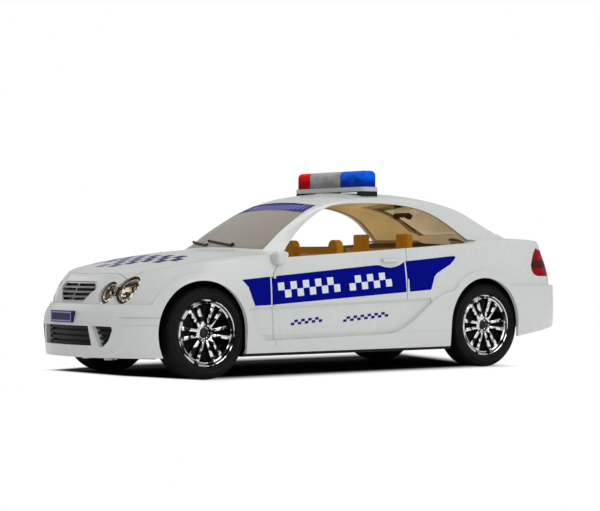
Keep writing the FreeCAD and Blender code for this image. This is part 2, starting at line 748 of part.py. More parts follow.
def make_bar_lens(y0, y1):
    """One third of the rounded lens block, between two cuts across it."""
    inset = 0.3
    x0 = bar_x - bar_depth / 2.0 + inset
    x1 = bar_x + bar_depth / 2.0 - inset
    z0 = bar_base_z + bar_base_height
    block = box(x0, x1, -bar_half_width + inset, bar_half_width - inset, z0, z0 + bar_lens_height)
    ends = [edge for edge in block.Edges if edge.BoundBox.ZLength > 1.0]
    block = block.makeFillet(bar_lens_corner, ends)
    top = [edge for edge in block.Edges if edge.BoundBox.ZMin > z0 + bar_lens_height - 0.1]
    block = block.makeFillet(bar_lens_crown, top)
    return block.common(box(x0 - 1, x1 + 1, y0, y1, z0 - 1, z0 + bar_lens_height + 1))


def make_base_plate():
    """Black tray inside the shell's rim, with wheel wells, axle saddles and the raised tail."""
    rim_inset = wall + 2.0 * fit_gap
    low_level = (plate_z, core_levels[0][1] + 1.0, core_levels[0][2] - 1.0, core_levels[0][3] + 0.7)
    plate = Part.Face(plan_wire(low_level, rim_inset)).extrude(Vec(0, 0, plate_thickness))
    plate = plate.cut(box(-140, tray_split_x, -60, 60, 0, 20))
    tail_z = tail_tray_top - plate_thickness
    tail_level = (tail_z, core_levels[1][1], core_levels[1][2], core_levels[1][3])
    tail = Part.Face(plan_wire(tail_level, rim_inset)).extrude(Vec(0, 0, plate_thickness))
    tail = tail.common(box(-140, tray_split_x + plate_thickness, -60, 60, 0, 30))
    riser = box(tray_split_x, tray_split_x + plate_thickness, -well_y, well_y, plate_z, tail_tray_top)
    drums = []
    pieces = [tail, riser]
    cuts = []
    for axle_x in (front_axle_x, rear_axle_x):
        well_x = axle_x + well_shift
        drum = cylinder_y(well_x, tyre_radius, liner_radius + liner_wall, well_y, arch_edge_y)
        drums.append(drum.common(box(well_x - 40, well_x + 40, 0, 60, plate_z, 60)))
        hollow = cylinder_y(well_x, tyre_radius, liner_radius, tyre_inner_y - wheel_inner_gap, 60)
        saddle = box(axle_x - 4.0, axle_x + 4.0, well_y - 5.0, well_y, plate_z, tyre_radius + 4.2)
        saddle_bore = cylinder_y(axle_x, tyre_radius, axle_radius + axle_clearance, well_y - 6.0, well_y + 6.0)
        pieces += [saddle, mirrored(saddle)]
        cuts += [hollow, mirrored(hollow), saddle_bore, mirrored(saddle_bore)]
    room = core_solid(wall + fit_gap)
    for drum in drums:
        trimmed = drum.common(room)
        pieces += [trimmed, mirrored(trimmed)]
    plate = plate.fuse(pieces)
    for x, y in screw_places:
        cuts.append(cylinder_z(x, y, screw_hole_radius, 0, 20))
    behind_wheel = box(-140, rear_axle_x - 14.0, well_y + liner_wall, 60, 0, tail_z)
    cuts += [behind_wheel, mirrored(behind_wheel)]
    cuts.append(cylinder_z(belly_x, 0, belly_top_radius + fit_gap, 0, sill_z + 1))
    return plate.cut(cuts)


def make_drive_box():
    """Friction motor case round the rear axle, with the round belly that shows under the plate."""
    case = box(box_back_x, box_front_x, -box_half_width, box_half_width, sill_z, box_top_z)
    case = case.makeFillet(1.5, [edge for edge in case.Edges if edge.BoundBox.ZMin > sill_z + 1])
    neck = cylinder_z(belly_x, 0, belly_top_radius, plate_z, sill_z + 2.0 * belly_neck)
    belly = Part.makeCone(belly_low_radius, belly_top_radius, plate_z - belly_floor_z,
                          Vec(belly_x, 0, belly_floor_z), Vec(0, 0, 1))
    bore = cylinder_y(rear_axle_x, tyre_radius, axle_radius + axle_clearance, -40, 40)
    return case.fuse([neck, belly]).cut(bore)


def make_tub():
    """Cabin tray on four legs, with door caps at its sides and the parcel shelf behind."""
    outer = box(tub_rear_x, tub_front_x, -tub_half_width, tub_half_width, tub_floor_z, tub_side_z)
    inner = box(tub_rear_x + tub_wall, tub_front_x - tub_wall, -tub_half_width + tub_wall,
                tub_half_width - tub_wall, tub_floor_top, tub_side_z + 1)
    low_front = box(tub_front_x - 12.0, tub_front_x + 1, -60, 60, dash_z, tub_side_z + 1)
    back = box(tub_rear_x, tub_rear_x + tub_wall, -shelf_half_width, shelf_half_width, tub_floor_z, shelf_z)
    shelf = box(shelf_back_x, tub_rear_x + tub_wall, -shelf_half_width, shelf_half_width,
                shelf_z - tub_wall, shelf_z)
    cap = box(tub_rear_x, tub_front_x - 12.0, tub_half_width - tub_wall, 60, tub_side_z - tub_wall, tub_side_z)
    caps = both_sides(cap).common(core_solid(wall + fit_gap))
    legs = [box(x - 2.0, x + 2.0, y - 2.0, y + 2.0, sill_z, tub_floor_z)
            for x in (tub_front_x - 12.0, tub_rear_x + 8.0) for y in (-tub_leg_y, tub_leg_y)]
    well = cylinder_y(rear_axle_x + well_shift, tyre_radius, liner_radius + liner_wall + fit_gap,
                      well_y - fit_gap, 60)
    return outer.cut([inner, low_front]).fuse([back, shelf, caps] + legs).cut(both_sides(well))


def make_dashboard():
    block = box(tub_front_x - 10.0, tub_front_x + 2.0, -dash_half_width, dash_half_width, dash_z, dash_top_z)
    edges = [edge for edge in block.Edges if edge.BoundBox.ZMin > dash_z + 1]
    return block.makeFillet(1.8, edges)


def make_steering_wheel():
    rim = Part.makeTorus(steering_radius, 0.8, Vec(steering_x, steering_y, steering_z), Vec(1, 0, 0))
    spoke = box(steering_x - 0.6, steering_x + 0.6, steering_y - steering_radius, steering_y + steering_radius,
                steering_z - 0.7, steering_z + 0.7)
    column = Part.makeCylinder(1.2, tub_front_x - 10.0 - steering_x + 1.0,
                               Vec(steering_x - 1.0, steering_y, steering_z), Vec(1, 0, 0))
    return rim.fuse([spoke, column])


def front_seat(y):
    cushion = box(front_seat_x - 5.0, front_seat_x + 17.0, y - 9.0, y + 9.0, tub_floor_top, tub_floor_top + 8.0)
    cushion = cushion.makeFillet(2.0, [edge for edge in cushion.Edges if edge.BoundBox.ZMin > tub_floor_top + 1])
    back = box(front_seat_x - 5.0, front_seat_x + 1.0, y - 8.6, y + 8.6, tub_floor_top + 4.0, 52.0)
    back = back.makeFillet(2.0, [edge for edge in back.Edges if edge.BoundBox.ZMax > 45.0])
    head = Part.makeCylinder(3.3, 3.6, Vec(front_seat_x - 3.8, y, headrest_z - 3.3), Vec(1, 0, 0))
    neck = box(front_seat_x - 3.8, front_seat_x - 0.2, y - 3.3, y + 3.3, 48.0, headrest_z - 3.3)
    return cushion.fuse([back, head, neck])


def make_front_seats():
    bar = box(front_seat_x - 3.4, front_seat_x - 0.6, -seat_y, seat_y, headrest_z - 6.2, headrest_z - 3.0)
    return front_seat(seat_y).fuse([front_seat(-seat_y), bar])


def make_rear_bench():
    back_x = tub_rear_x + tub_wall
    cushion = box(back_x, back_x + 20.0, -bench_half_width, bench_half_width, tub_floor_top, tub_floor_top + 9.0)
    cushion = cushion.makeFillet(2.0, [edge for edge in cushion.Edges if edge.BoundBox.ZMin > tub_floor_top + 1])
    back = box(back_x, back_x + 5.5, -bench_half_width, bench_half_width, tub_floor_top, shelf_z)
    heads = [rounded_box(rear_seat_x - 1.8, rear_seat_x + 1.8, y - 4.5, y + 4.5, shelf_z - 2.0, rear_headrest_z, 1.0)
             for y in (-rear_seat_y, rear_seat_y)]
    return cushion.fuse([back] + heads)


def make_axle(axle_x):
    half = wheel_face_y - hub_cap_depth
    return cylinder_y(axle_x, tyre_radius, axle_radius, -half, half)


def revolve_wheel(points, axle_x):
    """Ring turned about the axle from points given as (y, radius)."""
    corners = [Vec(axle_x, y, tyre_radius + radius) for y, radius in points]
    face = Part.Face(Part.makePolygon(corners + corners[:1]))
    return face.revolve(Vec(axle_x, 0, tyre_radius), Vec(0, 1, 0), 360)


def make_tyre(axle_x):
    y0 = tyre_inner_y
    y1 = wheel_face_y
    inner = rim_radius
    outer = tyre_radius
    shoulder = 1.8
    points = [(y0 + 1.0, inner), (y1 - 1.0, inner), (y1 - 0.3, inner + 1.0), (y1, inner + 2.3),
              (y1 - 0.4, outer - shoulder), (y1 - 0.9, outer - 0.7), (y1 - shoulder, outer - 0.1),
              (y1 - shoulder - 1.0, outer), (y0 + shoulder + 1.0, outer), (y0 + shoulder, outer - 0.1),
              (y0 + 0.9, outer - 0.7), (y0 + 0.4, outer - shoulder), (y0, inner + 2.3),
              (y0 + 0.3, inner + 1.0)]
    return revolve_wheel(points, axle_x)


def make_rim(axle_x):
    """Bright rim: stepped lip, barrel, paired thin spokes and a hollow hub."""
    face_y = wheel_face_y - rim_recess
    back_y = tyre_inner_y + 2.0
    lip = revolve_wheel([(back_y, rim_radius), (back_y, rim_radius - 1.4), (face_y - 3.4, rim_radius - 1.4),
                         (face_y - 3.4, rim_radius - 2.4), (face_y - 1.2, rim_radius - 2.4),
                         (face_y - 1.2, rim_radius - 1.2), (face_y, rim_radius - 1.2), (face_y, rim_radius)],
                        axle_x)
    hub = cylinder_y(axle_x, tyre_radius, hub_radius, back_y, face_y - 1.2)
    web = cylinder_y(axle_x, tyre_radius, rim_radius - 1.0, back_y + 2.0, back_y + 3.4)
    bars = []
    for pair in range(spoke_pairs):
        middle = 360.0 / spoke_pairs * pair + 90.0
        for side in (-1, 1):
            bar = box(-spoke_width / 2.0, spoke_width / 2.0, face_y - 3.2, face_y - 1.4, hub_radius - 0.8,
                      rim_radius - 1.8)
            bar.rotate(Vec(0, 0, hub_radius), Vec(0, 1, 0), side * spoke_splay)
            bar.translate(Vec(side * spoke_width * 0.75, 0, 0))
            bar.rotate(Vec(0, 0, 0), Vec(0, 1, 0), middle)
            bar.translate(Vec(axle_x, 0, tyre_radius))
            bars.append(bar)
    rim = lip.fuse([hub, web] + bars)
    cup = cylinder_y(axle_x, tyre_radius, hub_radius - 1.3, face_y - 2.4, 60)
    socket = cylinder_y(axle_x, tyre_radius, axle_radius, 0, wheel_face_y - hub_cap_depth)
    return rim.cut([cup, socket])


def make_screw(x, y):
    """Pan head screw with a cross slot, up through the base plate."""
    seat_z = plate_z if x > 0 else tail_tray_top - plate_thickness
    head = cylinder_z(x, y, screw_head_radius, seat_z - screw_head_height, seat_z)
    shank = cylinder_z(x, y, screw_shank_radius, seat_z - 0.5, seat_z + plate_thickness + screw_reach)
    slots = [box(x - 1.6, x + 1.6, y - 0.3, y + 0.3, 0, seat_z - screw_head_height + 0.6),
             box(x - 0.3, x + 0.3, y - 1.6, y + 1.6, 0, seat_z - screw_head_height + 0.6)]
    return head.fuse(shank).cut(slots)


def save(name, shape):
    print(name, "solids", len(shape.Solids), "valid", shape.isValid(), "volume", round(shape.Volume, 1))
    shape.exportStep("parts/" + name + ".step")


def save_pair(name, shape):
    save(name + "_left", shape)
    save(name + "_right", mirrored(shape))


def save_wheels():
    for end, axle_x in (("front", front_axle_x), ("rear", rear_axle_x)):
        save("axle_" + end, make_axle(axle_x))
        save_pair("tyre_" + end, make_tyre(axle_x))
        save_pair("rim_" + end, make_rim(axle_x))


def save_light_bar():
    end = bar_half_width
    save("lightbar_base", make_bar_base())
    save_pair("lightbar_foot", make_bar_foot())
    save("lightbar_lens_red", make_bar_lens(-end, bar_grey_right - fit_gap / 2.0))
    save("lightbar_lens_grey", make_bar_lens(bar_grey_right + fit_gap / 2.0, bar_grey_left - fit_gap / 2.0))
    save("lightbar_lens_blue", make_bar_lens(bar_grey_left + fit_gap / 2.0, end))


def save_front():
    middle, left, right = intake_prisms()
    save("grille", make_grille())
    save("intake_centre", make_intake(middle))
    save("intake_left", make_intake(left))
    save("intake_right", make_intake(right))
    save_pair("headlamp_lens", make_headlamp_lens())
    save_pair("headlamp_reflector", make_headlamp_reflector())


outside = outside_parts()
save("chassis_base", make_base_plate())
save("drive_box", make_drive_box())
save("cabin_tub", make_tub())
save("dashboard", make_dashboard())
save("steering_wheel", make_steering_wheel())
save("front_seats", make_front_seats())
save("rear_bench", make_rear_bench())
save_wheels()
for number, (screw_at_x, screw_at_y) in enumerate(screw_places):
    save("screw_%d" % (number + 1), make_screw(screw_at_x, screw_at_y))
save_light_bar()
save_pair("mirror", make_mirror(outside))
save_front()
save_pair("tail_lamp", make_tail_lamp())
save("plate_front", make_plate_front())
save("plate_rear", make_plate_rear())
save("windscreen", make_windscreen())
save("rear_window", make_rear_window())
save("wiper_right", wiper_blade((-7.3, 56.3), (-25.0, 57.8)))
save("wiper_left", wiper_blade((12.9, 56.0), (-9.0, 58.3)))
save("headliner", make_headliner())
save("body_shell", make_shell(outside))
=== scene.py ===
import math
import bpy
import bmesh
from mathutils import Matrix, Vector


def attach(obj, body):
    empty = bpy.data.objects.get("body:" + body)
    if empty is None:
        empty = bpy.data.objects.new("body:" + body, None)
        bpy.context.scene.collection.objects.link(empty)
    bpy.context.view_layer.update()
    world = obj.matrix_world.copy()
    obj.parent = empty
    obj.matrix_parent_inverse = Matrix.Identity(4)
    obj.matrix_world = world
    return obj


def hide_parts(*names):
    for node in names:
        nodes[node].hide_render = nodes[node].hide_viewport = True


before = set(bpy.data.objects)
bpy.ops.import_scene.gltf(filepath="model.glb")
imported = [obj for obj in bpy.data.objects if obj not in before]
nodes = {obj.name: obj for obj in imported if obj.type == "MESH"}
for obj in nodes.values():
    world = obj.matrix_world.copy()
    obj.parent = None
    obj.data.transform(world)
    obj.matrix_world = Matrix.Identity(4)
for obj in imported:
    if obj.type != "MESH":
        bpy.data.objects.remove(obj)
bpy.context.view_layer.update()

# Looks of a moulded toy patrol car. Metres, +X the nose, +Y the car's left side, +Z up.
# The dictionaries of values are in millimetres and degrees, but where a comment says metres.
mm = 0.001
nearest = 0.000001
facing = 0.9
axles = {"front": 85.0, "rear": -72.0, "height": 19.5}


def deselectAll():
    if bpy.context.object and bpy.context.object.mode != "OBJECT":
        bpy.ops.object.mode_set(mode="OBJECT")
    bpy.ops.object.select_all(action="DESELECT")


def makeActive(piece):
    deselectAll()
    piece.select_set(True)
    bpy.context.view_layer.objects.active = piece


def newestPiece(name):
    piece = bpy.context.object
    piece.name = name
    piece.data.name = name
    return piece


def settle(piece):
    # place, turn and size go into the mesh
    makeActive(piece)
    bpy.ops.object.transform_apply(location=True, rotation=True, scale=True)


def applyModifier(piece, name, kind, **values):
    makeActive(piece)
    modifier = piece.modifiers.new(name, kind)
    for key, value in values.items():
        setattr(modifier, key, value)
    bpy.ops.object.modifier_apply(modifier=name)


def editAll(piece):
    makeActive(piece)
    bpy.ops.object.mode_set(mode="EDIT")
    bpy.ops.mesh.select_all(action="SELECT")


def endEdit():
    bpy.ops.object.mode_set(mode="OBJECT")


def pickFaces(piece, test):
    # leaves edit mode on, with only the faces that pass selected
    makeActive(piece)
    bpy.ops.object.mode_set(mode="EDIT")
    bpy.ops.mesh.select_mode(type="FACE")
    bpy.ops.mesh.select_all(action="DESELECT")
    work = bmesh.from_edit_mesh(piece.data)
    for face in work.faces:
        face.select_set(test(face))
    bmesh.update_edit_mesh(piece.data)


def dropFaces(piece, test):
    pickFaces(piece, test)
    bpy.ops.mesh.delete(type="FACE")
    endEdit()


def dropPieces(*pieces):
    deselectAll()
    for piece in pieces:
        piece.select_set(True)
    bpy.ops.object.delete()


def joinAll(first, others):
    makeActive(first)
    for piece in others:
        piece.select_set(True)
    bpy.ops.object.join()


def ownCopy(piece, name):
    copied = piece.copy()
    copied.data = piece.data.copy()
    copied.name = name
    copied.data.name = name
    bpy.context.scene.collection.objects.link(copied)
    return copied


def outwardNormals(piece):
    editAll(piece)
    bpy.ops.mesh.remove_doubles(threshold=nearest)
    bpy.ops.mesh.normals_make_consistent(inside=False)
    endEdit()


def smoothByAngle(piece, degrees):
    makeActive(piece)
    bpy.ops.object.shade_smooth_by_angle(angle=math.radians(degrees))


def soften(piece, width, **limits):
    applyModifier(piece, "soften", "BEVEL", width=width * mm, segments=2, **limits)


def paint(piece, material):
    piece.data.materials.clear()
    piece.data.materials.append(material)


# Camera at the photograph's angle, level with the bonnet. Its place is in metres.

view = {
    "place": (0.5308, 0.6983, 0.0519),
    "heading": 143.0,
    "lens": 114.0,
    "sensor": 36.0,
    "clip": (0.01, 50.0),
}


def makeCamera():
    data = bpy.data.cameras.new("photoCamera")
    data.lens = view["lens"]
    data.sensor_width = view["sensor"]
    data.clip_start, data.clip_end = view["clip"]
    camera = bpy.data.objects.new("photoCamera", data)
    camera.location = view["place"]
    camera.rotation_euler = (math.radians(90.0), 0.0, math.radians(view["heading"]))
    bpy.context.scene.collection.objects.link(camera)
    bpy.context.scene.camera = camera
    print("camera ready")


# Shader parts. A value is a constant or the output of an earlier node.

def feed(tree, socket, value):
    if isinstance(value, bpy.types.NodeSocket):
        tree.links.new(value, socket)
    else:
        socket.default_value = value


def mathNode(tree, operation, *values):
    node = tree.nodes.new("ShaderNodeMath")
    node.operation = operation
    for socket, value in zip(node.inputs, values):
        feed(tree, socket, value)
    return node.outputs[0]


def times(tree, first, *others):
    for other in others:
        first = mathNode(tree, "MULTIPLY", first, other)
    return first


def minus(tree, first, second):
    return mathNode(tree, "SUBTRACT", first, second)


def sizeOf(tree, value):
    return mathNode(tree, "ABSOLUTE", value)


def lengthOf(tree, first, second):
    squares = mathNode(tree, "ADD", times(tree, first, first), times(tree, second, second))
    return mathNode(tree, "SQRT", squares)


def placeAxes(tree, names="XYZ"):
    # the named axes of the piece's own coordinates
    place = tree.nodes.new("ShaderNodeTexCoord")
    axes = tree.nodes.new("ShaderNodeSeparateXYZ")
    tree.links.new(place.outputs["Object"], axes.inputs[0])
    return [axes.outputs[name] for name in names]


def vectorOf(tree, *values):
    vector = tree.nodes.new("ShaderNodeCombineXYZ")
    for socket, value in zip(vector.inputs, values):
        feed(tree, socket, value)
    return vector.outputs["Vector"]


def noiseNode(tree, place, values):
    noise = tree.nodes.new("ShaderNodeTexNoise")
    feed(tree, noise.inputs["Vector"], place)
    for name, value in values.items():
        feed(tree, noise.inputs[name], value)
    return noise.outputs["Fac"]


def smoothBand(tree, value, start, end, unit=mm):
    # rises softly from 0 at the start to 1 at the end
    ramp = tree.nodes.new("ShaderNodeMapRange")
    ramp.interpolation_type = "SMOOTHSTEP"
    ramp.inputs["From Min"].default_value = start * unit
    ramp.inputs["From Max"].default_value = end * unit
    tree.links.new(value, ramp.inputs["Value"])
    return ramp.outputs["Result"]


def within(tree, value, span, blur, unit=mm):
    # 1 inside the span, with soft ends
    low, high = span
    rise = smoothBand(tree, value, low - blur, low + blur, unit)
    fall = smoothBand(tree, value, high - blur, high + blur, unit)
    return minus(tree, rise, fall)


def edgeReach(tree, first, second, edges):
    # how far a point lies outside an outline of straight edges, and less than 0 inside it;
    # each edge is its outward way and its distance in millimetres
    reach = -1.0
    for outFirst, outSecond, edge in edges:
        across = mathNode(tree, "MULTIPLY_ADD", second, outSecond, -edge * mm)
        reach = mathNode(tree, "MAXIMUM", mathNode(tree, "MULTIPLY_ADD", first, outFirst, across), reach)
    return reach


def colorMix(tree, factor, first, second):
    # the first colour where the factor is 0, the second where it is 1
    mix = tree.nodes.new("ShaderNodeMix")
    mix.data_type = "RGBA"
    feed(tree, mix.inputs["Factor"], factor)
    feed(tree, mix.inputs["A"], first)
    feed(tree, mix.inputs["B"], second)
    return mix.outputs["Result"]


# Floor, world and lamps, in metres. The floor has a painted shadow under the car, a dark colour inside the
# shade's outline, whose edges and fade are in millimetres, and it is plain white around it.

studio = {
    "floorSize": 12.0,
    "floorColor": (0.96, 0.96, 0.96, 1.0),
    "shadeColor": (0.03, 0.03, 0.03, 1.0),
    "shadeEdges": [(1.597, 0.104, 161.0), (1.544, 0.421, 155.1), (0.0, 0.45, 20.5),
                   (0.445, -1.114, 113.1), (0.0, -0.3, 26.5), (-0.6, 0.2, 59.2)],
    "shadeFade": (-8.0, 5.0),
    "worldLevel": 0.52,
    "backdrop": 1.0,
    "target": (0.0, 0.0, 0.04),
    "lamps": [
        {"name": "keyLamp", "place": (-0.30, 1.25, 0.50), "size": (0.9, 0.7), "power": 3.9},
        {"name": "topLamp", "place": (-0.15, 0.1, 1.4), "size": (1.2, 0.6), "power": 6.7},
        {"name": "farLamp", "place": (0.3, -1.2, 0.8), "size": (0.9, 0.6), "power": 1.4},
    ],
}


def makeFloor():
    deselectAll()
    bpy.ops.mesh.primitive_plane_add(size=studio["floorSize"], location=(0, 0, 0))
    floor = newestPiece("studioFloor")
    material = bpy.data.materials.new("paleFloor")
    material.use_nodes = True
    tree = material.node_tree
    tree.nodes.clear()
    out = tree.nodes.new("ShaderNodeOutputMaterial")
    mix = tree.nodes.new("ShaderNodeMixShader")
    diffuse = tree.nodes.new("ShaderNodeBsdfDiffuse")
    glow = tree.nodes.new("ShaderNodeEmission")
    rays = tree.nodes.new("ShaderNodeLightPath")
    glow.inputs["Strength"].default_value = studio["backdrop"]
    # painted shadow: inside the outline the floor's colour is dark, and only outside it does the camera see
    # plain white
    reach = edgeReach(tree, *placeAxes(tree, "XY"), studio["shadeEdges"])
    away = smoothBand(tree, reach, *studio["shadeFade"])
    shade = colorMix(tree, away, studio["shadeColor"], studio["floorColor"])
    tree.links.new(shade, diffuse.inputs["Color"])
    tree.links.new(times(tree, rays.outputs["Is Camera Ray"], away), mix.inputs["Fac"])
    tree.links.new(diffuse.outputs[0], mix.inputs[1])
    tree.links.new(glow.outputs[0], mix.inputs[2])
    tree.links.new(mix.outputs[0], out.inputs["Surface"])
    paint(floor, material)


def makeWorld():
    world = bpy.data.worlds.new("studioWorld")
    bpy.context.scene.world = world
    world.use_nodes = True
    tree = world.node_tree
    tree.nodes.clear()
    out = tree.nodes.new("ShaderNodeOutputWorld")
    mix = tree.nodes.new("ShaderNodeMixShader")
    rays = tree.nodes.new("ShaderNodeLightPath")
    seen = mathNode(tree, "MAXIMUM", rays.outputs["Is Camera Ray"], rays.outputs["Is Transmission Ray"])
    tree.links.new(seen, mix.inputs["Fac"])
    for index, level in enumerate((studio["worldLevel"], studio["backdrop"]), 1):
        white = tree.nodes.new("ShaderNodeBackground")
        white.inputs["Color"].default_value = (1, 1, 1, 1)
        white.inputs["Strength"].default_value = level
        tree.links.new(white.outputs[0], mix.inputs[index])
    tree.links.new(mix.outputs[0], out.inputs["Surface"])


def makeLamp(lamp):
    data = bpy.data.lights.new(lamp["name"], "AREA")
    data.shape = "RECTANGLE"
    data.size, data.size_y = lamp["size"]
    data.energy = lamp["power"]
    light = bpy.data.objects.new(lamp["name"], data)
    light.location = lamp["place"]
    towards = Vector(studio["target"]) - Vector(lamp["place"])
    light.rotation_euler = towards.to_track_quat("-Z", "Y").to_euler()
    bpy.context.scene.collection.objects.link(light)


def makeStudio():
    makeFloor()
    makeWorld()
    for lamp in studio["lamps"]:
        makeLamp(lamp)
    print("studio ready")


# One shared effect: moulded plastic's faint clouding, uneven gloss and fine grain.

surfaceSockets = {
    "INPUT": ("Color", "Shade Spread", "Patch Scale", "Roughness", "Rough Spread", "Grain Scale"),
    "OUTPUT": ("Color", "Roughness", "Height"),
}
surfaceNoise = {
    "patches": {"Detail": 4.0},
    "grain": {"Detail": 2.0},
    "smears": {"Detail": 5.0, "Distortion": 0.8, "Scale": 70.0},
}
noiseMiddle = 0.5


def mouldedSurfaceGroup():
    tree = bpy.data.node_groups.new("mouldedSurface", "ShaderNodeTree")
    for way, names in surfaceSockets.items():
        for name in names:
            kind = "NodeSocketColor" if name == "Color" else "NodeSocketFloat"
            tree.interface.new_socket(name=name, in_out=way, socket_type=kind)
    given = tree.nodes.new("NodeGroupInput").outputs
    result = tree.nodes.new("NodeGroupOutput").inputs
    place = tree.nodes.new("ShaderNodeTexCoord").outputs["Object"]
    patches = noiseNode(tree, place, {**surfaceNoise["patches"], "Scale": given["Patch Scale"]})
    grain = noiseNode(tree, place, {**surfaceNoise["grain"], "Scale": given["Grain Scale"]})
    smears = noiseNode(tree, place, surfaceNoise["smears"])
    cloud = minus(tree, patches, noiseMiddle)
    smear = minus(tree, smears, noiseMiddle)
    shade = tree.nodes.new("ShaderNodeVectorMath")
    shade.operation = "SCALE"
    feed(tree, shade.inputs[0], given["Color"])
    feed(tree, shade.inputs["Scale"], mathNode(tree, "MULTIPLY_ADD", cloud, given["Shade Spread"], 1.0))
    rough = mathNode(tree, "MULTIPLY_ADD", smear, given["Rough Spread"], given["Roughness"])
    rough.node.use_clamp = True
    feed(tree, result["Color"], shade.outputs[0])
    feed(tree, result["Roughness"], rough)
    feed(tree, result["Height"], grain)
    return tree


def addRelief(tree, height, strength, depth):
    # one more bump on top of what the shader has
    shader = tree.nodes["Principled BSDF"]
    bump = tree.nodes.new("ShaderNodeBump")
    bump.inputs["Strength"].default_value = strength
    bump.inputs["Distance"].default_value = depth * mm
    tree.links.new(height, bump.inputs["Height"])
    for link in shader.inputs["Normal"].links:
        tree.links.new(link.from_socket, bump.inputs["Normal"])
    tree.links.new(bump.outputs["Normal"], shader.inputs["Normal"])


def addColor(tree, mask, color):
    # a further colour where the mask is 1
    shader = tree.nodes["Principled BSDF"]
    base = shader.inputs["Base Color"].links[0].from_socket
    tree.links.new(colorMix(tree, mask, base, (*color, 1.0)), shader.inputs["Base Color"])


# Finishes: color, rough and what differs from the usual values; glow is painted light, the colour given off
# as emission so that the cabin's pieces look lit.

usualFinish = {"shade": 0.06, "patch": 40.0, "smear": 0.15, "grain": 900.0, "bump": 0.1, "depth": 0.1,
               "glow": 0.0, "plain": {}}
soft = {"Specular IOR Level": 0.25}
flat = {"Specular IOR Level": 0.08}
matt = {"Specular IOR Level": 0.015}
steel = {"Metallic": 1.0}
rubber = {"color": (0.0055, 0.0055, 0.006), "rough": 0.6, "grain": 1500.0, "bump": 0.25, "shade": 0.5,
          "patch": 120.0, "plain": {"Specular IOR Level": 0.14}}
chrome = {"color": (0.88, 0.89, 0.90), "rough": 0.1, "smear": 0.1, "shade": 0.1, "patch": 300.0,
          "bump": 0.06, "grain": 500.0, "plain": steel}
plate = {"color": (0.008, 0.009, 0.075), "rough": 0.35, "plain": soft}


def clearFinish(color, roughness, weight, bend=1.45):
    return {"color": color, "rough": roughness, "shade": 0.1, "smear": 0.05, "bump": 0.02,
            "plain": {"Transmission Weight": weight, "IOR": bend}}


def barFinish(color):
    return {"color": color, "rough": 0.28, "shade": 0.5, "patch": 260.0,
            "plain": {"Specular IOR Level": 0.03}}


finishes = {
    "shellWhite": {"color": (0.63, 0.65, 0.635), "rough": 0.26, "shade": 0.07, "patch": 30.0, "bump": 0.12,
                   "grain": 160.0,
                   "plain": {"Specular IOR Level": 0.4, "Coat Weight": 0.2, "Coat Roughness": 0.1}},
    "baseBlack": {"color": (0.006, 0.006, 0.0065), "rough": 0.5, "grain": 1500.0, "bump": 0.35,
                  "plain": soft},
    "cabinAmber": {"color": (0.36, 0.155, 0.006), "rough": 0.5, "grain": 1300.0, "bump": 0.3, "shade": 0.6,
                   "patch": 90.0, "glow": 0.26,
                   "plain": {**flat, "Sheen Weight": 0.5, "Sheen Roughness": 0.3,
                             "Sheen Tint": (1.0, 0.85, 0.5, 1.0)}},
    "liningOlive": {"color": (0.44, 0.33, 0.14), "rough": 0.5, "grain": 1300.0, "bump": 0.3, "shade": 0.9,
                    "patch": 60.0, "glow": 0.55, "plain": flat},
    "flangeTan": {"color": (0.42, 0.34, 0.21), "rough": 0.25, "shade": 0.3, "glow": 0.55, "plain": flat},
    "clipBrown": {"color": (0.055, 0.026, 0.006), "rough": 0.45, "bump": 0.2, "shade": 0.4, "glow": 0.2,
                  "plain": flat},
    "glazingTaupe": clearFinish((0.405, 0.36, 0.30), 0.06, 0.45),
    "glazingWarm": clearFinish((0.52, 0.42, 0.25), 0.08, 0.92),
    "lensClear": clearFinish((0.95, 0.95, 0.95), 0.03, 1.0, 1.2),
    "reflectorDark": {"color": (0.012, 0.009, 0.006), "rough": 0.14, "shade": 0.4, "plain": steel},
    "grilleGrey": {"color": (0.17, 0.17, 0.175), "rough": 0.3, "shade": 1.2, "patch": 260.0,
                   "plain": {"Metallic": 0.4}},
    "tailRed": {"color": (0.27, 0.004, 0.006), "rough": 0.3, "shade": 0.9, "patch": 200.0, "plain": matt},
    "plateFront": plate,
    "plateRear": plate,
    "barPale": {"color": (0.50, 0.52, 0.51), "rough": 0.3, "shade": 0.1, "grain": 400.0,
                "plain": {"Specular IOR Level": 0.3}},
    "barRed": barFinish((0.95, 0.003, 0.005)),
    "barGrey": barFinish((0.46, 0.46, 0.47)),
    "barBlue": barFinish((0.003, 0.14, 0.95)),
    "rubberFront": rubber,
    "rubberRear": rubber,
    "chromeFront": chrome,
    "chromeRear": chrome,
    "webBlack": {"color": (0.004, 0.004, 0.0045), "rough": 0.4, "plain": soft},
    "wheelDark": {"color": (0.004, 0.004, 0.005), "rough": 0.4, "plain": soft},
    "axleSteel": {"color": (0.52, 0.52, 0.53), "rough": 0.32, "plain": steel},
    "decalBlue": {"color": (0.0006, 0.0035, 0.22), "rough": 0.45, "shade": 0.12, "bump": 0.03,
                  "plain": matt},
    "decalWhite": {"color": (0.72, 0.74, 0.80), "rough": 0.45, "bump": 0.03, "plain": flat},
    "decalInk": {"color": (0.012, 0.010, 0.20), "rough": 0.45, "bump": 0.03, "shade": 0.3, "plain": flat},
    "stripInk": {"color": (0.035, 0.032, 0.24), "rough": 0.4, "shade": 0.8, "patch": 60.0, "plain": flat},
    "bonnetInk": {"color": (0.014, 0.012, 0.11), "rough": 0.45, "shade": 0.5, "plain": flat},
}
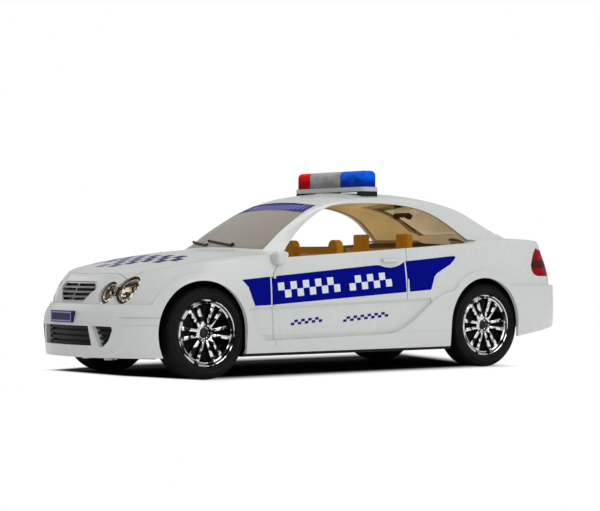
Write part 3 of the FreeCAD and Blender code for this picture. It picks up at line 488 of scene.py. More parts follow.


# Fine lines in the shell's sides, upright or level, sunk in the bump, with painted shade darkening the
# colour along them. A line is at its place where the other axis is 0.

creases = [
    {"upright": True, "place": 50.8, "slope": 0.089, "span": (13.2, 30.6), "blur": 0.3, "width": 0.2,
     "strength": 1.0},
    {"upright": False, "place": 30.8, "slope": -0.0283, "span": (-34.5, 68.0), "blur": 2.0, "width": 0.22,
     "strength": 0.6},
    {"upright": False, "place": 26.3, "slope": 0.0, "span": (101.5, 121.0), "blur": 2.0, "width": 0.28,
     "strength": 1.0},
    {"upright": False, "place": 23.2, "slope": 0.0, "span": (103.0, 121.0), "blur": 2.0, "width": 0.22,
     "strength": 0.55},
    {"upright": False, "place": 17.6, "slope": 0.0, "span": (-48.0, 60.0), "blur": 2.0, "width": 0.25,
     "strength": 0.35},
]
creaseSides = (27.0, 31.0)
creaseShade = 0.4


def creaseMask(tree):
    alongX, alongY, upZ = placeAxes(tree)
    total = 0.0
    for crease in creases:
        value, along = (alongX, upZ) if crease["upright"] else (upZ, alongX)
        level = mathNode(tree, "MULTIPLY_ADD", along, crease["slope"], crease["place"] * mm)
        apart = sizeOf(tree, minus(tree, value, level))
        line = minus(tree, 1.0, smoothBand(tree, apart, 0.0, 2.0 * crease["width"]))
        span = within(tree, along, crease["span"], crease["blur"])
        total = mathNode(tree, "MAXIMUM", times(tree, line, span, crease["strength"]), total)
    return times(tree, total, smoothBand(tree, sizeOf(tree, alongY), *creaseSides))


# painted shade: the shell's colour darkens along the crease lines
def creasePaintedShade(tree):
    return times(tree, creaseMask(tree), creaseShade)


def creaseHeight(tree):
    return times(tree, creaseMask(tree), -1.0)


# Prints and tail lamps.

stripBars = {"pitch": 2.7, "bar": 0.3, "across": (-17.0, 22.0), "up": (72.6, 74.6), "blur": 0.1,
             "share": 0.75}
bonnetFade = (-14.0, 8.0)
tailField = {"up": (45.8, 49.6), "blur": 0.3}


def stripMask(tree):
    # plain upright bars in the middle of the sun strip
    alongY, upZ = placeAxes(tree, "YZ")
    step = mathNode(tree, "FRACT", mathNode(tree, "DIVIDE", alongY, stripBars["pitch"] * mm))
    bar = mathNode(tree, "LESS_THAN", step, stripBars["bar"])
    across = within(tree, alongY, stripBars["across"], stripBars["blur"])
    up = within(tree, upZ, stripBars["up"], stripBars["blur"])
    return times(tree, bar, across, up, stripBars["share"])


def nearMask(tree):
    # the bonnet print fades towards the far side
    [alongY] = placeAxes(tree, "Y")
    return minus(tree, 1.0, smoothBand(tree, alongY, *bonnetFade))


def tailMask(tree):
    # dark middle field of the tail lamps
    [upZ] = placeAxes(tree, "Z")
    return within(tree, upZ, tailField["up"], tailField["blur"])


# Grille: painted shade in the gaps between the slats, a plain rib in the middle and a bright frame.

grillePattern = {"slats": (33.1, 40.2), "pitch": 1.975, "gap": 0.6, "rib": 0.45, "frame": 1.0, "blur": 0.08}
grilleEdges = [(0.0, -1.0, -32.2), (0.0, 1.0, 41.1), (0.777, -0.630, -12.83), (0.7071, 0.7071, 37.62),
               (0.6675, -0.7445, -18.1)]


# painted shade: the gaps between the slats are darkened
def grilleGapPaintedShade(tree):
    values = grillePattern
    alongY, upZ = placeAxes(tree, "YZ")
    height = minus(tree, upZ, values["slats"][0] * mm)
    step = mathNode(tree, "FRACT", mathNode(tree, "DIVIDE", height, values["pitch"] * mm))
    gap = mathNode(tree, "LESS_THAN", step, values["gap"])
    besideRib = mathNode(tree, "GREATER_THAN", sizeOf(tree, alongY), values["rib"] * mm)
    return times(tree, gap, besideRib, within(tree, upZ, values["slats"], values["blur"]))


def grilleFrame(tree):
    inner, blur = -grillePattern["frame"], grillePattern["blur"]
    alongY, upZ = placeAxes(tree, "YZ")
    reach = edgeReach(tree, sizeOf(tree, alongY), upZ, grilleEdges)
    return smoothBand(tree, reach, inner - blur, inner + blur)


# Blank plates with a light line just inside the edge.

plateShape = {"front": {"up": (24.0, 28.8), "half": 8.6}, "rear": {"up": (42.6, 48.2), "half": 9.8},
              "line": (0.45, 0.85), "blur": 0.06}


def plateMask(end):
    def mask(tree):
        low, high = plateShape[end]["up"]
        alongY, upZ = placeAxes(tree, "YZ")
        beside = minus(tree, plateShape[end]["half"] * mm, sizeOf(tree, alongY))
        above = mathNode(tree, "MINIMUM", minus(tree, upZ, low * mm), minus(tree, high * mm, upZ))
        edge = mathNode(tree, "MINIMUM", beside, above)
        return within(tree, edge, plateShape["line"], plateShape["blur"])
    return mask


# Tyres and plated rims, both drawn round an axle.

treadShape = {"cuts": 60.0, "cutBlend": (0.2, 0.6), "ribs": 2300.0, "ribBlend": (0.5, 0.9),
              "from": (18.2, 18.8), "rings": [(17.1, 17.5), (15.3, 15.6)], "blur": 0.1}
paintedStreakShape = {"round": 2.6, "outward": 330.0, "noise": {"Scale": 1.15, "Detail": 1.5, "Distortion": 0.4},
               "front": 0.45, "rear": 0.50, "blend": 0.1, "ring": (13.0, 13.45), "ringShade": 0.85,
               "blur": 0.1}


def axleAxes(tree, end):
    # distances from an axle's centre line: forwards, up and straight out
    alongX, upZ = placeAxes(tree, "XZ")
    fromX = minus(tree, alongX, axles[end] * mm)
    fromZ = minus(tree, upZ, axles["height"] * mm)
    return fromX, fromZ, lengthOf(tree, fromX, fromZ)


def treadHeight(end):
    # ribs round the tread, cross cuts and two rings on the side wall
    def height(tree):
        values = treadShape
        fromX, fromZ, radius = axleAxes(tree, end)
        [alongY] = placeAxes(tree, "Y")
        turn = mathNode(tree, "ARCTAN2", fromZ, fromX)
        cuts = mathNode(tree, "SINE", times(tree, turn, values["cuts"]))
        cuts = smoothBand(tree, cuts, *values["cutBlend"], 1.0)
        ribs = mathNode(tree, "SINE", times(tree, sizeOf(tree, alongY), values["ribs"]))
        ribs = smoothBand(tree, ribs, *values["ribBlend"], 1.0)
        onTread = smoothBand(tree, radius, *values["from"])
        tread = times(tree, onTread, mathNode(tree, "MAXIMUM", cuts, ribs))
        rings = [within(tree, radius, ring, values["blur"]) for ring in values["rings"]]
        return minus(tree, mathNode(tree, "ADD", *rings), tread)
    return height


def paintedReflectionAndShadeMask(end):
    # painted reflection: dark arcs and streaks, as plated plastic would mirror a room, where the noise
    # passes the end's level, and painted shade in a ring on the lip
    def mask(tree):
        values = paintedStreakShape
        fromX, fromZ, radius = axleAxes(tree, end)
        ahead, above = [times(tree, mathNode(tree, "DIVIDE", way, radius), values["round"])
                        for way in (fromX, fromZ)]
        place = vectorOf(tree, ahead, times(tree, radius, values["outward"]), above)
        noise = noiseNode(tree, place, values["noise"])
        arcs = smoothBand(tree, noise, values[end], values[end] + values["blend"], 1.0)
        ring = within(tree, radius, values["ring"], values["blur"])
        return mathNode(tree, "MAXIMUM", arcs, times(tree, ring, values["ringShade"]))
    return mask


# Headlamps: two leaning oval bowls of dark metal, with a painted reflection in brown facets and painted
# highlights on bright facets, the lip and the middle.

lampBowls = [{"y": 28.2, "z": 37.5, "across": 4.2, "up": 5.8, "lean": -12.0},
             {"y": 20.9, "z": 36.4, "across": 3.5, "up": 4.7, "lean": -12.0}]
lampFacets = {"size": 850.0, "edge": 0.82, "lip": (0.66, 0.76), "lipShare": 0.35, "blur": 0.05,
              "middle": 0.2, "brown": (0.56, 0.62), "lit": (0.82, 0.88)}


def bowlReach(tree, side, upZ, bowl):
    # 0 in the middle of the oval and 1 at its edge
    lean = math.radians(bowl["lean"])
    fromY = minus(tree, side, bowl["y"] * mm)
    fromZ = minus(tree, upZ, bowl["z"] * mm)
    across = mathNode(tree, "MULTIPLY_ADD", fromY, math.cos(lean), times(tree, fromZ, math.sin(lean)))
    up = mathNode(tree, "MULTIPLY_ADD", fromZ, math.cos(lean), times(tree, fromY, -math.sin(lean)))
    return lengthOf(tree, mathNode(tree, "DIVIDE", across, bowl["across"] * mm),
                    mathNode(tree, "DIVIDE", up, bowl["up"] * mm))


def lampReach(tree):
    alongY, upZ = placeAxes(tree, "YZ")
    side = sizeOf(tree, alongY)
    return mathNode(tree, "MINIMUM", *[bowlReach(tree, side, upZ, bowl) for bowl in lampBowls])


def lampFacet(tree, band):
    # facets of the moulded reflector, each wholly in the mask or out of it
    place = tree.nodes.new("ShaderNodeTexCoord")
    facets = tree.nodes.new("ShaderNodeTexVoronoi")
    facets.inputs["Scale"].default_value = lampFacets["size"]
    tree.links.new(place.outputs["Object"], facets.inputs["Vector"])
    parts = tree.nodes.new("ShaderNodeSeparateColor")
    tree.links.new(facets.outputs["Color"], parts.inputs["Color"])
    return smoothBand(tree, parts.outputs["Red"], *lampFacets[band], 1.0)


# painted reflection: brown facets inside the ovals
def bowlPaintedReflection(tree):
    inside = mathNode(tree, "LESS_THAN", lampReach(tree), lampFacets["edge"])
    return times(tree, inside, lampFacet(tree, "brown"))


def bowlPaintedHighlight(tree):
    # painted highlights: facets as if turned to the light, the lip and the middle
    values = lampFacets
    reach = lampReach(tree)
    lip = times(tree, within(tree, reach, values["lip"], values["blur"], 1.0), values["lipShare"])
    middle = mathNode(tree, "LESS_THAN", reach, values["middle"])
    inside = mathNode(tree, "LESS_THAN", reach, values["edge"])
    lit = times(tree, lampFacet(tree, "lit"), inside)
    return mathNode(tree, "MAXIMUM", lip, mathNode(tree, "MAXIMUM", middle, lit))


# Light bar lenses: darker below than along the top, as painted shade, and in random patches, with fine
# ribs.

barShape = {"stretch": (190.0, 190.0, 420.0), "up": (83.6, 90.0), "below": 0.6, "blend": (0.35, 1.15),
            "ribs": 4800.0}


# painted shade towards the bottom of each lens, mixed with random darker patches
def barPaintedShade(tree):
    values = barShape
    axes = placeAxes(tree)
    place = vectorOf(tree, *[times(tree, way, size) for way, size in zip(axes, values["stretch"])])
    noise = noiseNode(tree, place, {"Scale": 1.0})
    low = minus(tree, 1.0, smoothBand(tree, axes[2], *values["up"]))
    mixed = mathNode(tree, "MULTIPLY_ADD", low, values["below"], noise)
    return smoothBand(tree, mixed, *values["blend"], 1.0)


def barRibs(tree):
    waves = [mathNode(tree, "SINE", times(tree, way, barShape["ribs"])) for way in placeAxes(tree, "YX")]
    return times(tree, *waves)


# What lies over each finish: further colours with their masks, and bump with its strength and depth.

furtherColors = {
    "shellWhite": [(creasePaintedShade, (0.30, 0.31, 0.30))],
    "reflectorDark": [(bowlPaintedReflection, (0.13, 0.075, 0.035)), (bowlPaintedHighlight, (0.85, 0.76, 0.62))],
    "grilleGrey": [(grilleGapPaintedShade, (0.035, 0.035, 0.038)), (grilleFrame, (0.50, 0.50, 0.51))],
    "tailRed": [(tailMask, (0.06, 0.014, 0.004))],
    "plateFront": [(plateMask("front"), (0.36, 0.33, 0.66))],
    "plateRear": [(plateMask("rear"), (0.36, 0.33, 0.66))],
    "barRed": [(barPaintedShade, (0.32, 0.001, 0.0015))],
    "barGrey": [(barPaintedShade, (0.20, 0.20, 0.21))],
    "barBlue": [(barPaintedShade, (0.001, 0.020, 0.31))],
    "chromeFront": [(paintedReflectionAndShadeMask("front"), (0.018, 0.018, 0.02))],
    "chromeRear": [(paintedReflectionAndShadeMask("rear"), (0.018, 0.018, 0.02))],
    "stripInk": [(stripMask, (0.42, 0.42, 0.68))],
    "bonnetInk": [(nearMask, (0.20, 0.18, 0.40))],
}
reliefs = {
    "shellWhite": (creaseHeight, 0.8, 0.25),
    "barRed": (barRibs, 0.25, 0.12),
    "barGrey": (barRibs, 0.25, 0.12),
    "barBlue": (barRibs, 0.25, 0.12),
    "rubberFront": (treadHeight("front"), 0.9, 0.35),
    "rubberRear": (treadHeight("rear"), 0.9, 0.35),
}


def makeMaterial(name):
    values = {**usualFinish, **finishes[name]}
    material = bpy.data.materials.new(name)
    material.use_nodes = True
    tree = material.node_tree
    shader = tree.nodes["Principled BSDF"]
    group = tree.nodes.new("ShaderNodeGroup")
    group.node_tree = surfaceGroup
    group.inputs["Color"].default_value = (*values["color"], 1.0)
    for socket, key in (("Shade Spread", "shade"), ("Patch Scale", "patch"), ("Roughness", "rough"),
                        ("Rough Spread", "smear"), ("Grain Scale", "grain")):
        group.inputs[socket].default_value = values[key]
    tree.links.new(group.outputs["Color"], shader.inputs["Base Color"])
    tree.links.new(group.outputs["Roughness"], shader.inputs["Roughness"])
    addRelief(tree, group.outputs["Height"], values["bump"], values["depth"])
    # painted light: the finish's own colour glows as emission
    if values["glow"]:
        tree.links.new(group.outputs["Color"], shader.inputs["Emission Color"])
        shader.inputs["Emission Strength"].default_value = values["glow"]
    for socket, value in values["plain"].items():
        shader.inputs[socket].default_value = value
    for maskMaker, color in furtherColors.get(name, []):
        addColor(tree, maskMaker(tree), color)
    if name in reliefs:
        heightMaker, strength, depth = reliefs[name]
        addRelief(tree, heightMaker(tree), strength, depth)
    return material


# Which of the frame's own pieces take each finish, by how their names start.

nodeFinishes = {
    "shellWhite": ("body_shell", "mirror_"),
    "baseBlack": ("chassis_base", "drive_box", "intake_", "lightbar_foot_"),
    "cabinAmber": ("cabin_tub", "dashboard", "front_seats", "rear_bench"),
    "liningOlive": ("headliner",),
    "wheelDark": ("steering_wheel",),
    "grilleGrey": ("grille",),
    "plateFront": ("plate_front",),
    "plateRear": ("plate_rear",),
    "barPale": ("lightbar_base",),
    "barRed": ("lightbar_lens_red",),
    "barGrey": ("lightbar_lens_grey",),
    "barBlue": ("lightbar_lens_blue",),
    "tailRed": ("tail_lamp_",),
    "reflectorDark": ("headlamp_reflector_",),
    "lensClear": ("headlamp_lens_",),
    "glazingTaupe": ("windscreen",),
    "glazingWarm": ("rear_window",),
    "rubberFront": ("tyre_front_",),
    "rubberRear": ("tyre_rear_",),
    "axleSteel": ("axle_", "screw_"),
}


def dressNodes():
    for finish, starts in nodeFinishes.items():
        for name, piece in nodes.items():
            if name.startswith(starts):
                paint(piece, materials[finish])
    print("finishes on the frame's own pieces")


# Wheels: the rim is a spun lip and hub with paired spokes over a black web. Profiles are (y, radius).

rimShape = {
    "lip": [(31.6, 14.35), (41.9, 14.35), (42.4, 14.2), (42.65, 13.8), (42.5, 13.4), (41.9, 13.15),
            (41.5, 13.0), (41.75, 12.7), (41.6, 12.3), (41.0, 12.05), (39.6, 11.9), (36.0, 12.3),
            (31.6, 13.0)],
    "hub": [(36.0, 0.0), (36.0, 4.5), (40.4, 4.4), (41.0, 4.1), (41.3, 3.6), (41.2, 3.0), (40.5, 2.6),
            (39.9, 2.5), (39.9, 0.0)],
    "cap": [(39.8, 0.0), (39.8, 2.3), (40.3, 2.05), (40.6, 1.3), (40.75, 0.0)],
    "web": [(34.0, 0.0), (34.0, 12.9), (34.9, 12.85), (35.1, 8.0), (36.4, 4.0), (36.4, 0.0)],
    "wideSteps": 96,
    "hubSteps": 48,
    "capSteps": 32,
    "smooth": 35.0,
}
spokeShape = {
    "inner": 3.6,
    "outer": 12.5,
    "width": 1.7,
    "depth": 1.9,
    "face": 41.1,
    "shift": 1.05,
    "splay": 8.0,
    "pairs": 6,
    "outerFlare": 1.55,
    "faceTaper": 0.66,
    "edge": 0.22,
}


def spunPiece(name, profile, steps):
    # closed profile turned about the Y axis
    deselectAll()
    bpy.ops.mesh.primitive_circle_add(vertices=len(profile), radius=mm, fill_type="NOTHING")
    piece = newestPiece(name)
    for vertex, (y, radius) in zip(piece.data.vertices, profile):
        vertex.co = (0.0, y * mm, radius * mm)
    editAll(piece)
    bpy.ops.mesh.spin(steps=steps, angle=math.tau, center=(0, 0, 0), axis=(0, 1, 0))
    bpy.ops.mesh.select_all(action="SELECT")
    bpy.ops.mesh.remove_doubles(threshold=10.0 * nearest)
    bpy.ops.mesh.dissolve_degenerate(threshold=nearest)
    endEdit()
    outwardNormals(piece)
    smoothByAngle(piece, rimShape["smooth"])
    return piece


def makeSpoke():
    values = spokeShape
    deselectAll()
    bpy.ops.mesh.primitive_cube_add(size=1.0)
    spoke = newestPiece("spoke")
    length = values["outer"] - values["inner"]
    halfway = (values["inner"] + length / 2.0) * mm
    spoke.scale = (values["width"] * mm, values["depth"] * mm, length * mm)
    spoke.location = (0.0, (values["face"] - values["depth"] / 2.0) * mm, halfway)
    settle(spoke)
    middle = (0.0, values["face"] * mm, halfway)
    for test, size in ((lambda face: face.normal.z > facing, values["outerFlare"]),
                       (lambda face: face.normal.y > facing, values["faceTaper"])):
        pickFaces(spoke, test)
        bpy.ops.transform.resize(value=(size, 1.0, 1.0), center_override=middle)
        endEdit()
    soften(spoke, values["edge"])
    return spoke


def makeSpokes():
    values = spokeShape
    first = makeSpoke()
    spokes = []
    inner = Vector((0.0, 0.0, values["inner"] * mm))
    for pair in range(values["pairs"]):
        for side in (-1, 1):
            spoke = ownCopy(first, "spokeCopy")
            splay = Matrix.Rotation(math.radians(side * values["splay"]), 4, "Y")
            splay = Matrix.Translation(inner) @ splay @ Matrix.Translation(-inner)
            shift = Matrix.Translation((side * values["shift"] * mm, 0, 0))
            turn = Matrix.Rotation(math.tau * (pair + 0.5) / values["pairs"], 4, "Y")
            spoke.matrix_world = turn @ shift @ splay
            settle(spoke)
            spokes.append(spoke)
    dropPieces(first)
    return spokes


def makeRimParts():
    values = rimShape
    bright = spunPiece("rimBrightPart", values["lip"], values["wideSteps"])
    hub = spunPiece("rimHub", values["hub"], values["hubSteps"])
    joinAll(bright, [hub] + makeSpokes())
    dark = spunPiece("rimDarkPart", values["web"], values["wideSteps"])
    joinAll(dark, [spunPiece("rimCap", values["cap"], values["capSteps"])])
    for part in (bright, dark):
        smoothByAngle(part, values["smooth"])
    return bright, dark


def placeWheels():
    bright, dark = makeRimParts()
    for end in ("front", "rear"):
        for side, turn in (("left", 0.0), ("right", math.pi)):
            for part, finish, slotName in ((bright, "chrome" + end.capitalize(), "rim_bright"),
                                           (dark, "webBlack", "wheel_dark")):
                piece = ownCopy(part, part.name + end.capitalize() + side.capitalize())
                piece.location = (axles[end] * mm, 0.0, axles["height"] * mm)
                piece.rotation_euler = (0.0, 0.0, turn)
                settle(piece)
                paint(piece, materials[finish])
                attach(piece, end + "_axle_set")
                if part is bright:
                    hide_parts("rim_" + end + "_" + side)
    dropPieces(bright, dark)
    print("wheels dressed")


# Stickers: a fine flat sheet is cut to its outline, then laid on the shell along an axis. It starts
# away from the shell, in metres, and a face past the limit has missed it.

film = {
    "lift": 0.05,
    "overLift": 0.1,
    "thickness": 0.03,
    "smooth": 40.0,
    "margin": 1.0,
    "X": {"turn": (math.pi / 2.0, 0.0, math.pi / 2.0), "away": (0.2, 0.0, 0.0), "limit": 0.19},
    "Y": {"turn": (math.pi / 2.0, 0.0, 0.0), "away": (0.0, 0.08, 0.0), "limit": 0.07},
    "Z": {"turn": (0.0, 0.0, 0.0), "away": (0.0, 0.0, 0.12), "limit": 0.11},
}


def gridSheet(name, left, right, low, high, columns, rows):
    deselectAll()
    bpy.ops.mesh.primitive_grid_add(x_subdivisions=columns, y_subdivisions=rows, size=1.0)
    sheet = newestPiece(name)
    sheet.scale = ((right - left) * mm, (high - low) * mm, 1.0)
    sheet.location = ((left + right) / 2.0 * mm, (low + high) / 2.0 * mm, 0.0)
    settle(sheet)
    return sheet


def cutAcross(sheet, first, second, strip=None):
    # cuts the faces, or those of one strip, along the line through two points
    pickFaces(sheet, lambda face: strip is None or strip[0] < face.calc_center_median().x / mm < strip[1])
    normal = Vector((first[1] - second[1], second[0] - first[0], 0.0)).normalized()
    bpy.ops.mesh.bisect(plane_co=(first[0] * mm, first[1] * mm, 0.0), plane_no=normal, use_fill=False,
                        threshold=nearest)
    endEdit()


def heightAt(outline, place):
    for (u0, v0), (u1, v1) in zip(outline, outline[1:]):
        if u0 <= place <= u1:
            return v0 + (v1 - v0) * (place - u0) / (u1 - u0)


def trimBetween(sheet, lower, upper):
    # lower and upper run from left to right over the same span
    knots = sorted({u for u, v in lower + upper})
    for knot in knots[1:-1]:
        cutAcross(sheet, (knot, 0.0), (knot, 1.0))
    for start, end in zip(knots, knots[1:]):
        for outline in (upper, lower):
            cutAcross(sheet, (start, heightAt(outline, start)), (end, heightAt(outline, end)), (start, end))

    def outside(face):
        centre = face.calc_center_median() / mm
        return not heightAt(lower, centre.x) < centre.y < heightAt(upper, centre.x)
    dropFaces(sheet, outside)


def bandSheet(name, lower, upper, step):
    left = lower[0][0]
    right = lower[-1][0]
    low = min(v for u, v in lower) - film["margin"]
    high = max(v for u, v in upper) + film["margin"]
    sheet = gridSheet(name, left, right, low, high, round((right - left) / step),
                      round((high - low) / step))
    trimBetween(sheet, lower, upper)
    return sheet


def keepChequers(sheet, left, low, width, height):
    def taken(face):
        centre = face.calc_center_median()
        column = math.floor((centre.x / mm - left) / width)
        row = math.floor((centre.y / mm - low) / height)
        return (column + row) % 2 == 1
    dropFaces(sheet, taken)


def wrapOnto(sheet, target, axis, lift, ahead=False):
    # each point goes back along the axis, or ahead, to just off the target
    applyModifier(sheet, "lay", "SHRINKWRAP", target=target, wrap_method="PROJECT",
                  wrap_mode="ABOVE_SURFACE", offset=lift * mm,
                  use_project_x=axis == "X", use_project_y=axis == "Y", use_project_z=axis == "Z",
                  use_negative_direction=not ahead, use_positive_direction=ahead)


def thicken(sheet, thickness):
    applyModifier(sheet, "film", "SOLIDIFY", thickness=thickness * mm, offset=0.0)
    outwardNormals(sheet)
    smoothByAngle(sheet, film["smooth"])


def layOn(sheet, target, axis, lift, thickness=film["thickness"]):
    values = film[axis]
    sheet.rotation_euler = values["turn"]
    sheet.location = values["away"]
    settle(sheet)
    wrapOnto(sheet, target, axis, lift)
    index = "XYZ".index(axis)
    dropFaces(sheet, lambda face: any(vertex.co[index] > values["limit"] for vertex in face.verts))
    thicken(sheet, thickness)


def finishSticker(sheet, finish):
    paint(sheet, materials[finish])
    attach(sheet, "car")


def bothSides(sheet, finish):
    finishSticker(sheet, finish)
    copied = ownCopy(sheet, sheet.name + "Right")
    copied.scale = (1.0, -1.0, 1.0)
    settle(copied)
    outwardNormals(copied)
    smoothByAngle(copied, film["smooth"])
    finishSticker(copied, finish)


band = {
    "step": 1.3,
    "slope": -0.0765,
    "chequerParts": 3,
    "front": {"lower": [(54.4, 30.85), (62.6, 30.6), (63.9, 33.6), (65.8, 38.6), (68.6, 41.5)],
              "upper": [(54.4, 42.9), (68.6, 41.7)]},
    "door": {"lower": [(-20.9, 35.5), (53.7, 30.9)],
             "upper": [(-20.9, 49.0), (-18.0, 47.6), (-15.0, 46.75), (-12.0, 46.45), (-9.0, 46.75),
                       (-6.6, 47.5), (-4.6, 47.65), (53.7, 42.95)]},
    "rear": {"lower": [(-52.2, 51.0), (-51.2, 49.9), (-48.4, 47.8), (-43.5, 45.6), (-39.6, 43.7),
                       (-38.0, 42.3), (-37.3, 40.4), (-35.6, 36.4), (-21.7, 35.55)],
             "upper": [(-52.2, 51.5), (-51.0, 51.7), (-21.7, 49.3)]},
    "chequers": [
        {"left": 17.0, "right": 50.5, "low": 34.9, "high": 41.5, "columns": 10, "pivot": 33.7},
        {"left": -12.4, "right": 11.8, "low": 37.3, "high": 43.7, "columns": 7, "pivot": -0.3},
    ],
    "smallPrint": [
        {"left": 26.4, "right": 43.4, "low": 22.5, "high": 24.8, "columns": 9, "pivot": 34.9},
        {"left": -10.7, "right": 14.9, "low": 23.7, "high": 26.0, "columns": 13, "pivot": 2.1},
    ],
}
bonnetPrint = {"left": 81.0, "right": 106.0, "low": -33.0, "high": 27.0, "size": 5.0, "wideTo": 96.0,
               "narrow": (-13.0, 7.0)}
sunStrip = {
    "step": 1.3,
    "lower": [(-25.6, 71.0), (-13.0, 72.2), (0.0, 72.6), (13.0, 72.2), (25.6, 71.0)],
    "upper": [(-25.6, 73.4), (-24.4, 74.2), (-12.0, 75.4), (0.0, 75.8), (12.0, 75.4), (24.4, 74.2),
              (25.6, 73.4)],
}


def slopedChequers(name, block, finish, lift):
    # two rows of chequers that follow the band's slope
    left, right, low, high = (block[key] for key in ("left", "right", "low", "high"))
    parts = band["chequerParts"]
    sheet = gridSheet(name, left, right, low, high, block["columns"] * parts, 2 * parts)
    keepChequers(sheet, left, low, (right - left) / block["columns"], (high - low) / 2.0)
    editAll(sheet)
    middle = (block["pivot"] * mm, (low + high) / 2.0 * mm, 0.0)
    bpy.ops.transform.rotate(value=-band["slope"], orient_axis="Z", center_override=middle)
    endEdit()
    layOn(sheet, nodes["body_shell"], "Y", lift)
    bothSides(sheet, finish)


def makeBonnetPrint():
    # chequers across the bonnet, and further forward only in the middle
    values = bonnetPrint
    left, right, low, high = (values[key] for key in ("left", "right", "low", "high"))
    sheet = gridSheet("bonnetChequers", left, right, low, high, round(right - left), round(high - low))

    def cutAway(face):
        centre = face.calc_center_median() / mm
        return centre.x > values["wideTo"] and not values["narrow"][0] < centre.y < values["narrow"][1]
    dropFaces(sheet, cutAway)
    keepChequers(sheet, left, low, values["size"], values["size"])
    layOn(sheet, nodes["body_shell"], "Z", film["lift"])
    finishSticker(sheet, "bonnetInk")


def makeStickers():
    for part in ("front", "door", "rear"):
        lower, upper = band[part]["lower"], band[part]["upper"]
        sheet = bandSheet("band" + part.capitalize(), lower, upper, band["step"])
        layOn(sheet, nodes["body_shell"], "Y", film["lift"])
        bothSides(sheet, "decalBlue")
    for index, block in enumerate(band["chequers"], 1):
        slopedChequers("chequers%d" % index, block, "decalWhite", film["overLift"])
    for index, block in enumerate(band["smallPrint"], 1):
        slopedChequers("smallPrint%d" % index, block, "decalInk", film["lift"])
    makeBonnetPrint()
    strip = bandSheet("sunStrip", sunStrip["lower"], sunStrip["upper"], sunStrip["step"])
    layOn(strip, nodes["windscreen"], "X", film["lift"])
    finishSticker(strip, "stripInk")
    print("stickers laid")


# Wipers: a slim blade with a knob at its foot and a small clip at its tip, as (y, z) on the glass.

wiperShape = {
    "left": {"foot": (12.6, 56.1), "tip": (-8.6, 58.2)},
    "right": {"foot": (-7.6, 56.35), "tip": (-24.4, 57.75)},
    "width": 0.5,
    "thickness": 0.55,
    "lift": 0.35,
    "columns": 28,
    "rows": 2,
    "smooth": 35.0,
}
knobShape = {
    "footRadius": 0.85,
    "tipRadius": 0.5,
    "depth": 0.9,
    "lean": 32.0,
    "outward": (0.5, 0.0, 0.85),
    "sides": 24,
    "rim": 0.35,
    "dish": 0.15,
    "dishDepth": 0.25,
    "topMargin": 0.01,
    "edge": 0.12,
}


def makeKnob(name, middle, radius):
    # short stud that stands on the glass, with a rounded rim and a dished top
    values = knobShape
    deselectAll()
    bpy.ops.mesh.primitive_cylinder_add(vertices=values["sides"], radius=radius * mm,
                                        depth=values["depth"] * mm, location=middle,
                                        rotation=(0.0, math.radians(values["lean"]), 0.0))
    knob = newestPiece(name)
    settle(knob)
    outward = Vector(values["outward"])
    top = max(face.normal.dot(outward) for face in knob.data.polygons)
    pickFaces(knob, lambda face: face.normal.dot(outward) > top - values["topMargin"])
    bpy.ops.mesh.inset(thickness=radius * values["rim"] * mm)
    bpy.ops.mesh.inset(thickness=radius * values["dish"] * mm,
                       depth=-values["depth"] * values["dishDepth"] * mm)
    endEdit()
    soften(knob, values["edge"], limit_method="ANGLE")
    return knob


def makeWiper(side):
    values = wiperShape
    foot = Vector(values[side]["foot"])
    tip = Vector(values[side]["tip"])
    half = values["width"] / 2.0
    blade = gridSheet("wiperBlade" + side.capitalize(), 0.0, (tip - foot).length, -half, half,
                      values["columns"], values["rows"])
    blade.rotation_euler = (0.0, 0.0, math.atan2(tip.y - foot.y, tip.x - foot.x))
    blade.location = (foot.x * mm, foot.y * mm, 0.0)
    settle(blade)
    layOn(blade, nodes["windscreen"], "X", values["lift"], values["thickness"])
    points = [vertex.co.copy() for vertex in blade.data.vertices]
    footEnd = max(points, key=lambda point: point.y)
    tipEnd = min(points, key=lambda point: point.y)
    joinAll(blade, [makeKnob("wiperKnob", footEnd, knobShape["footRadius"]),
                    makeKnob("wiperClip", tipEnd, knobShape["tipRadius"])])
    smoothByAngle(blade, values["smooth"])
    finishSticker(blade, "baseBlack")
    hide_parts("wiper_" + side)


# Inside, above the parcel shelf: the window's flange under the deck, and its brown clip.

inside = {
    "flange": {"left": -107.0, "right": -84.0, "half": 27.0, "gap": 0.35, "thickness": 0.3, "columns": 32,
               "rows": 72, "start": 52.0, "limit": 52.5, "postX": -104.0, "postY": 14.0, "postClear": 4.4},
    "clip": {"place": (-70.2, -15.4, 71.6), "size": (3.0, 11.5, 1.3), "lean": -24.0, "cuts": 4, "drop": 1.3,
             "hooksFrom": 0.27, "taper": 0.7, "edge": 0.3},
}


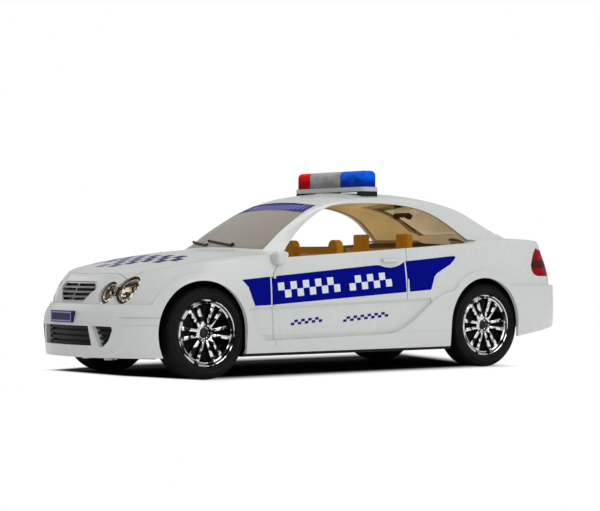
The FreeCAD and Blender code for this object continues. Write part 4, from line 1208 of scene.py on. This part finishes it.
def makeFlange():
    values = inside["flange"]
    sheet = gridSheet("rearGlassFlange", values["left"], values["right"], -values["half"], values["half"],
                      values["columns"], values["rows"])
    sheet.location = (0.0, 0.0, values["start"] * mm)
    settle(sheet)
    wrapOnto(sheet, nodes["body_shell"], "Z", values["gap"], ahead=True)

    def stray(face):
        # faces that found no shell above them, or lie over a screw post
        middle = face.calc_center_median() / mm
        fromPost = math.hypot(middle.x - values["postX"], abs(middle.y) - values["postY"])
        low = min(vertex.co.z for vertex in face.verts)
        return low < values["limit"] * mm or fromPost < values["postClear"]
    dropFaces(sheet, stray)
    thicken(sheet, values["thickness"])
    finishSticker(sheet, "flangeTan")


def makeClip():
    # a small bar with a hook down at each end
    values = inside["clip"]
    deselectAll()
    bpy.ops.mesh.primitive_cube_add(size=1.0)
    clip = newestPiece("rearGlassClip")
    clip.scale = [size * mm for size in values["size"]]
    settle(clip)
    editAll(clip)
    bpy.ops.mesh.subdivide(number_cuts=values["cuts"])
    endEdit()
    low = min(vertex.co.z for vertex in clip.data.vertices)
    edge = values["size"][1] * values["hooksFrom"] * mm
    pickFaces(clip, lambda face: face.normal.z < -facing and abs(face.calc_center_median().y) > edge)
    bpy.ops.mesh.extrude_region_move(TRANSFORM_OT_translate={"value": (0.0, 0.0, -values["drop"] * mm)})
    bpy.ops.transform.resize(value=(values["taper"], 1.0, 1.0), center_override=(0.0, 0.0, low))
    endEdit()
    soften(clip, values["edge"], limit_method="ANGLE")
    clip.rotation_euler = (0.0, math.radians(values["lean"]), 0.0)
    clip.location = [place * mm for place in values["place"]]
    settle(clip)
    smoothByAngle(clip, film["smooth"])
    finishSticker(clip, "clipBrown")


makeCamera()
makeStudio()
surfaceGroup = mouldedSurfaceGroup()
materials = {name: makeMaterial(name) for name in finishes}
dressNodes()
placeWheels()
makeStickers()
for side in ("left", "right"):
    makeWiper(side)
makeFlange()
makeClip()
print("wipers, rear flange and clip in place")

bpy.context.scene.view_settings.view_transform = "Standard"
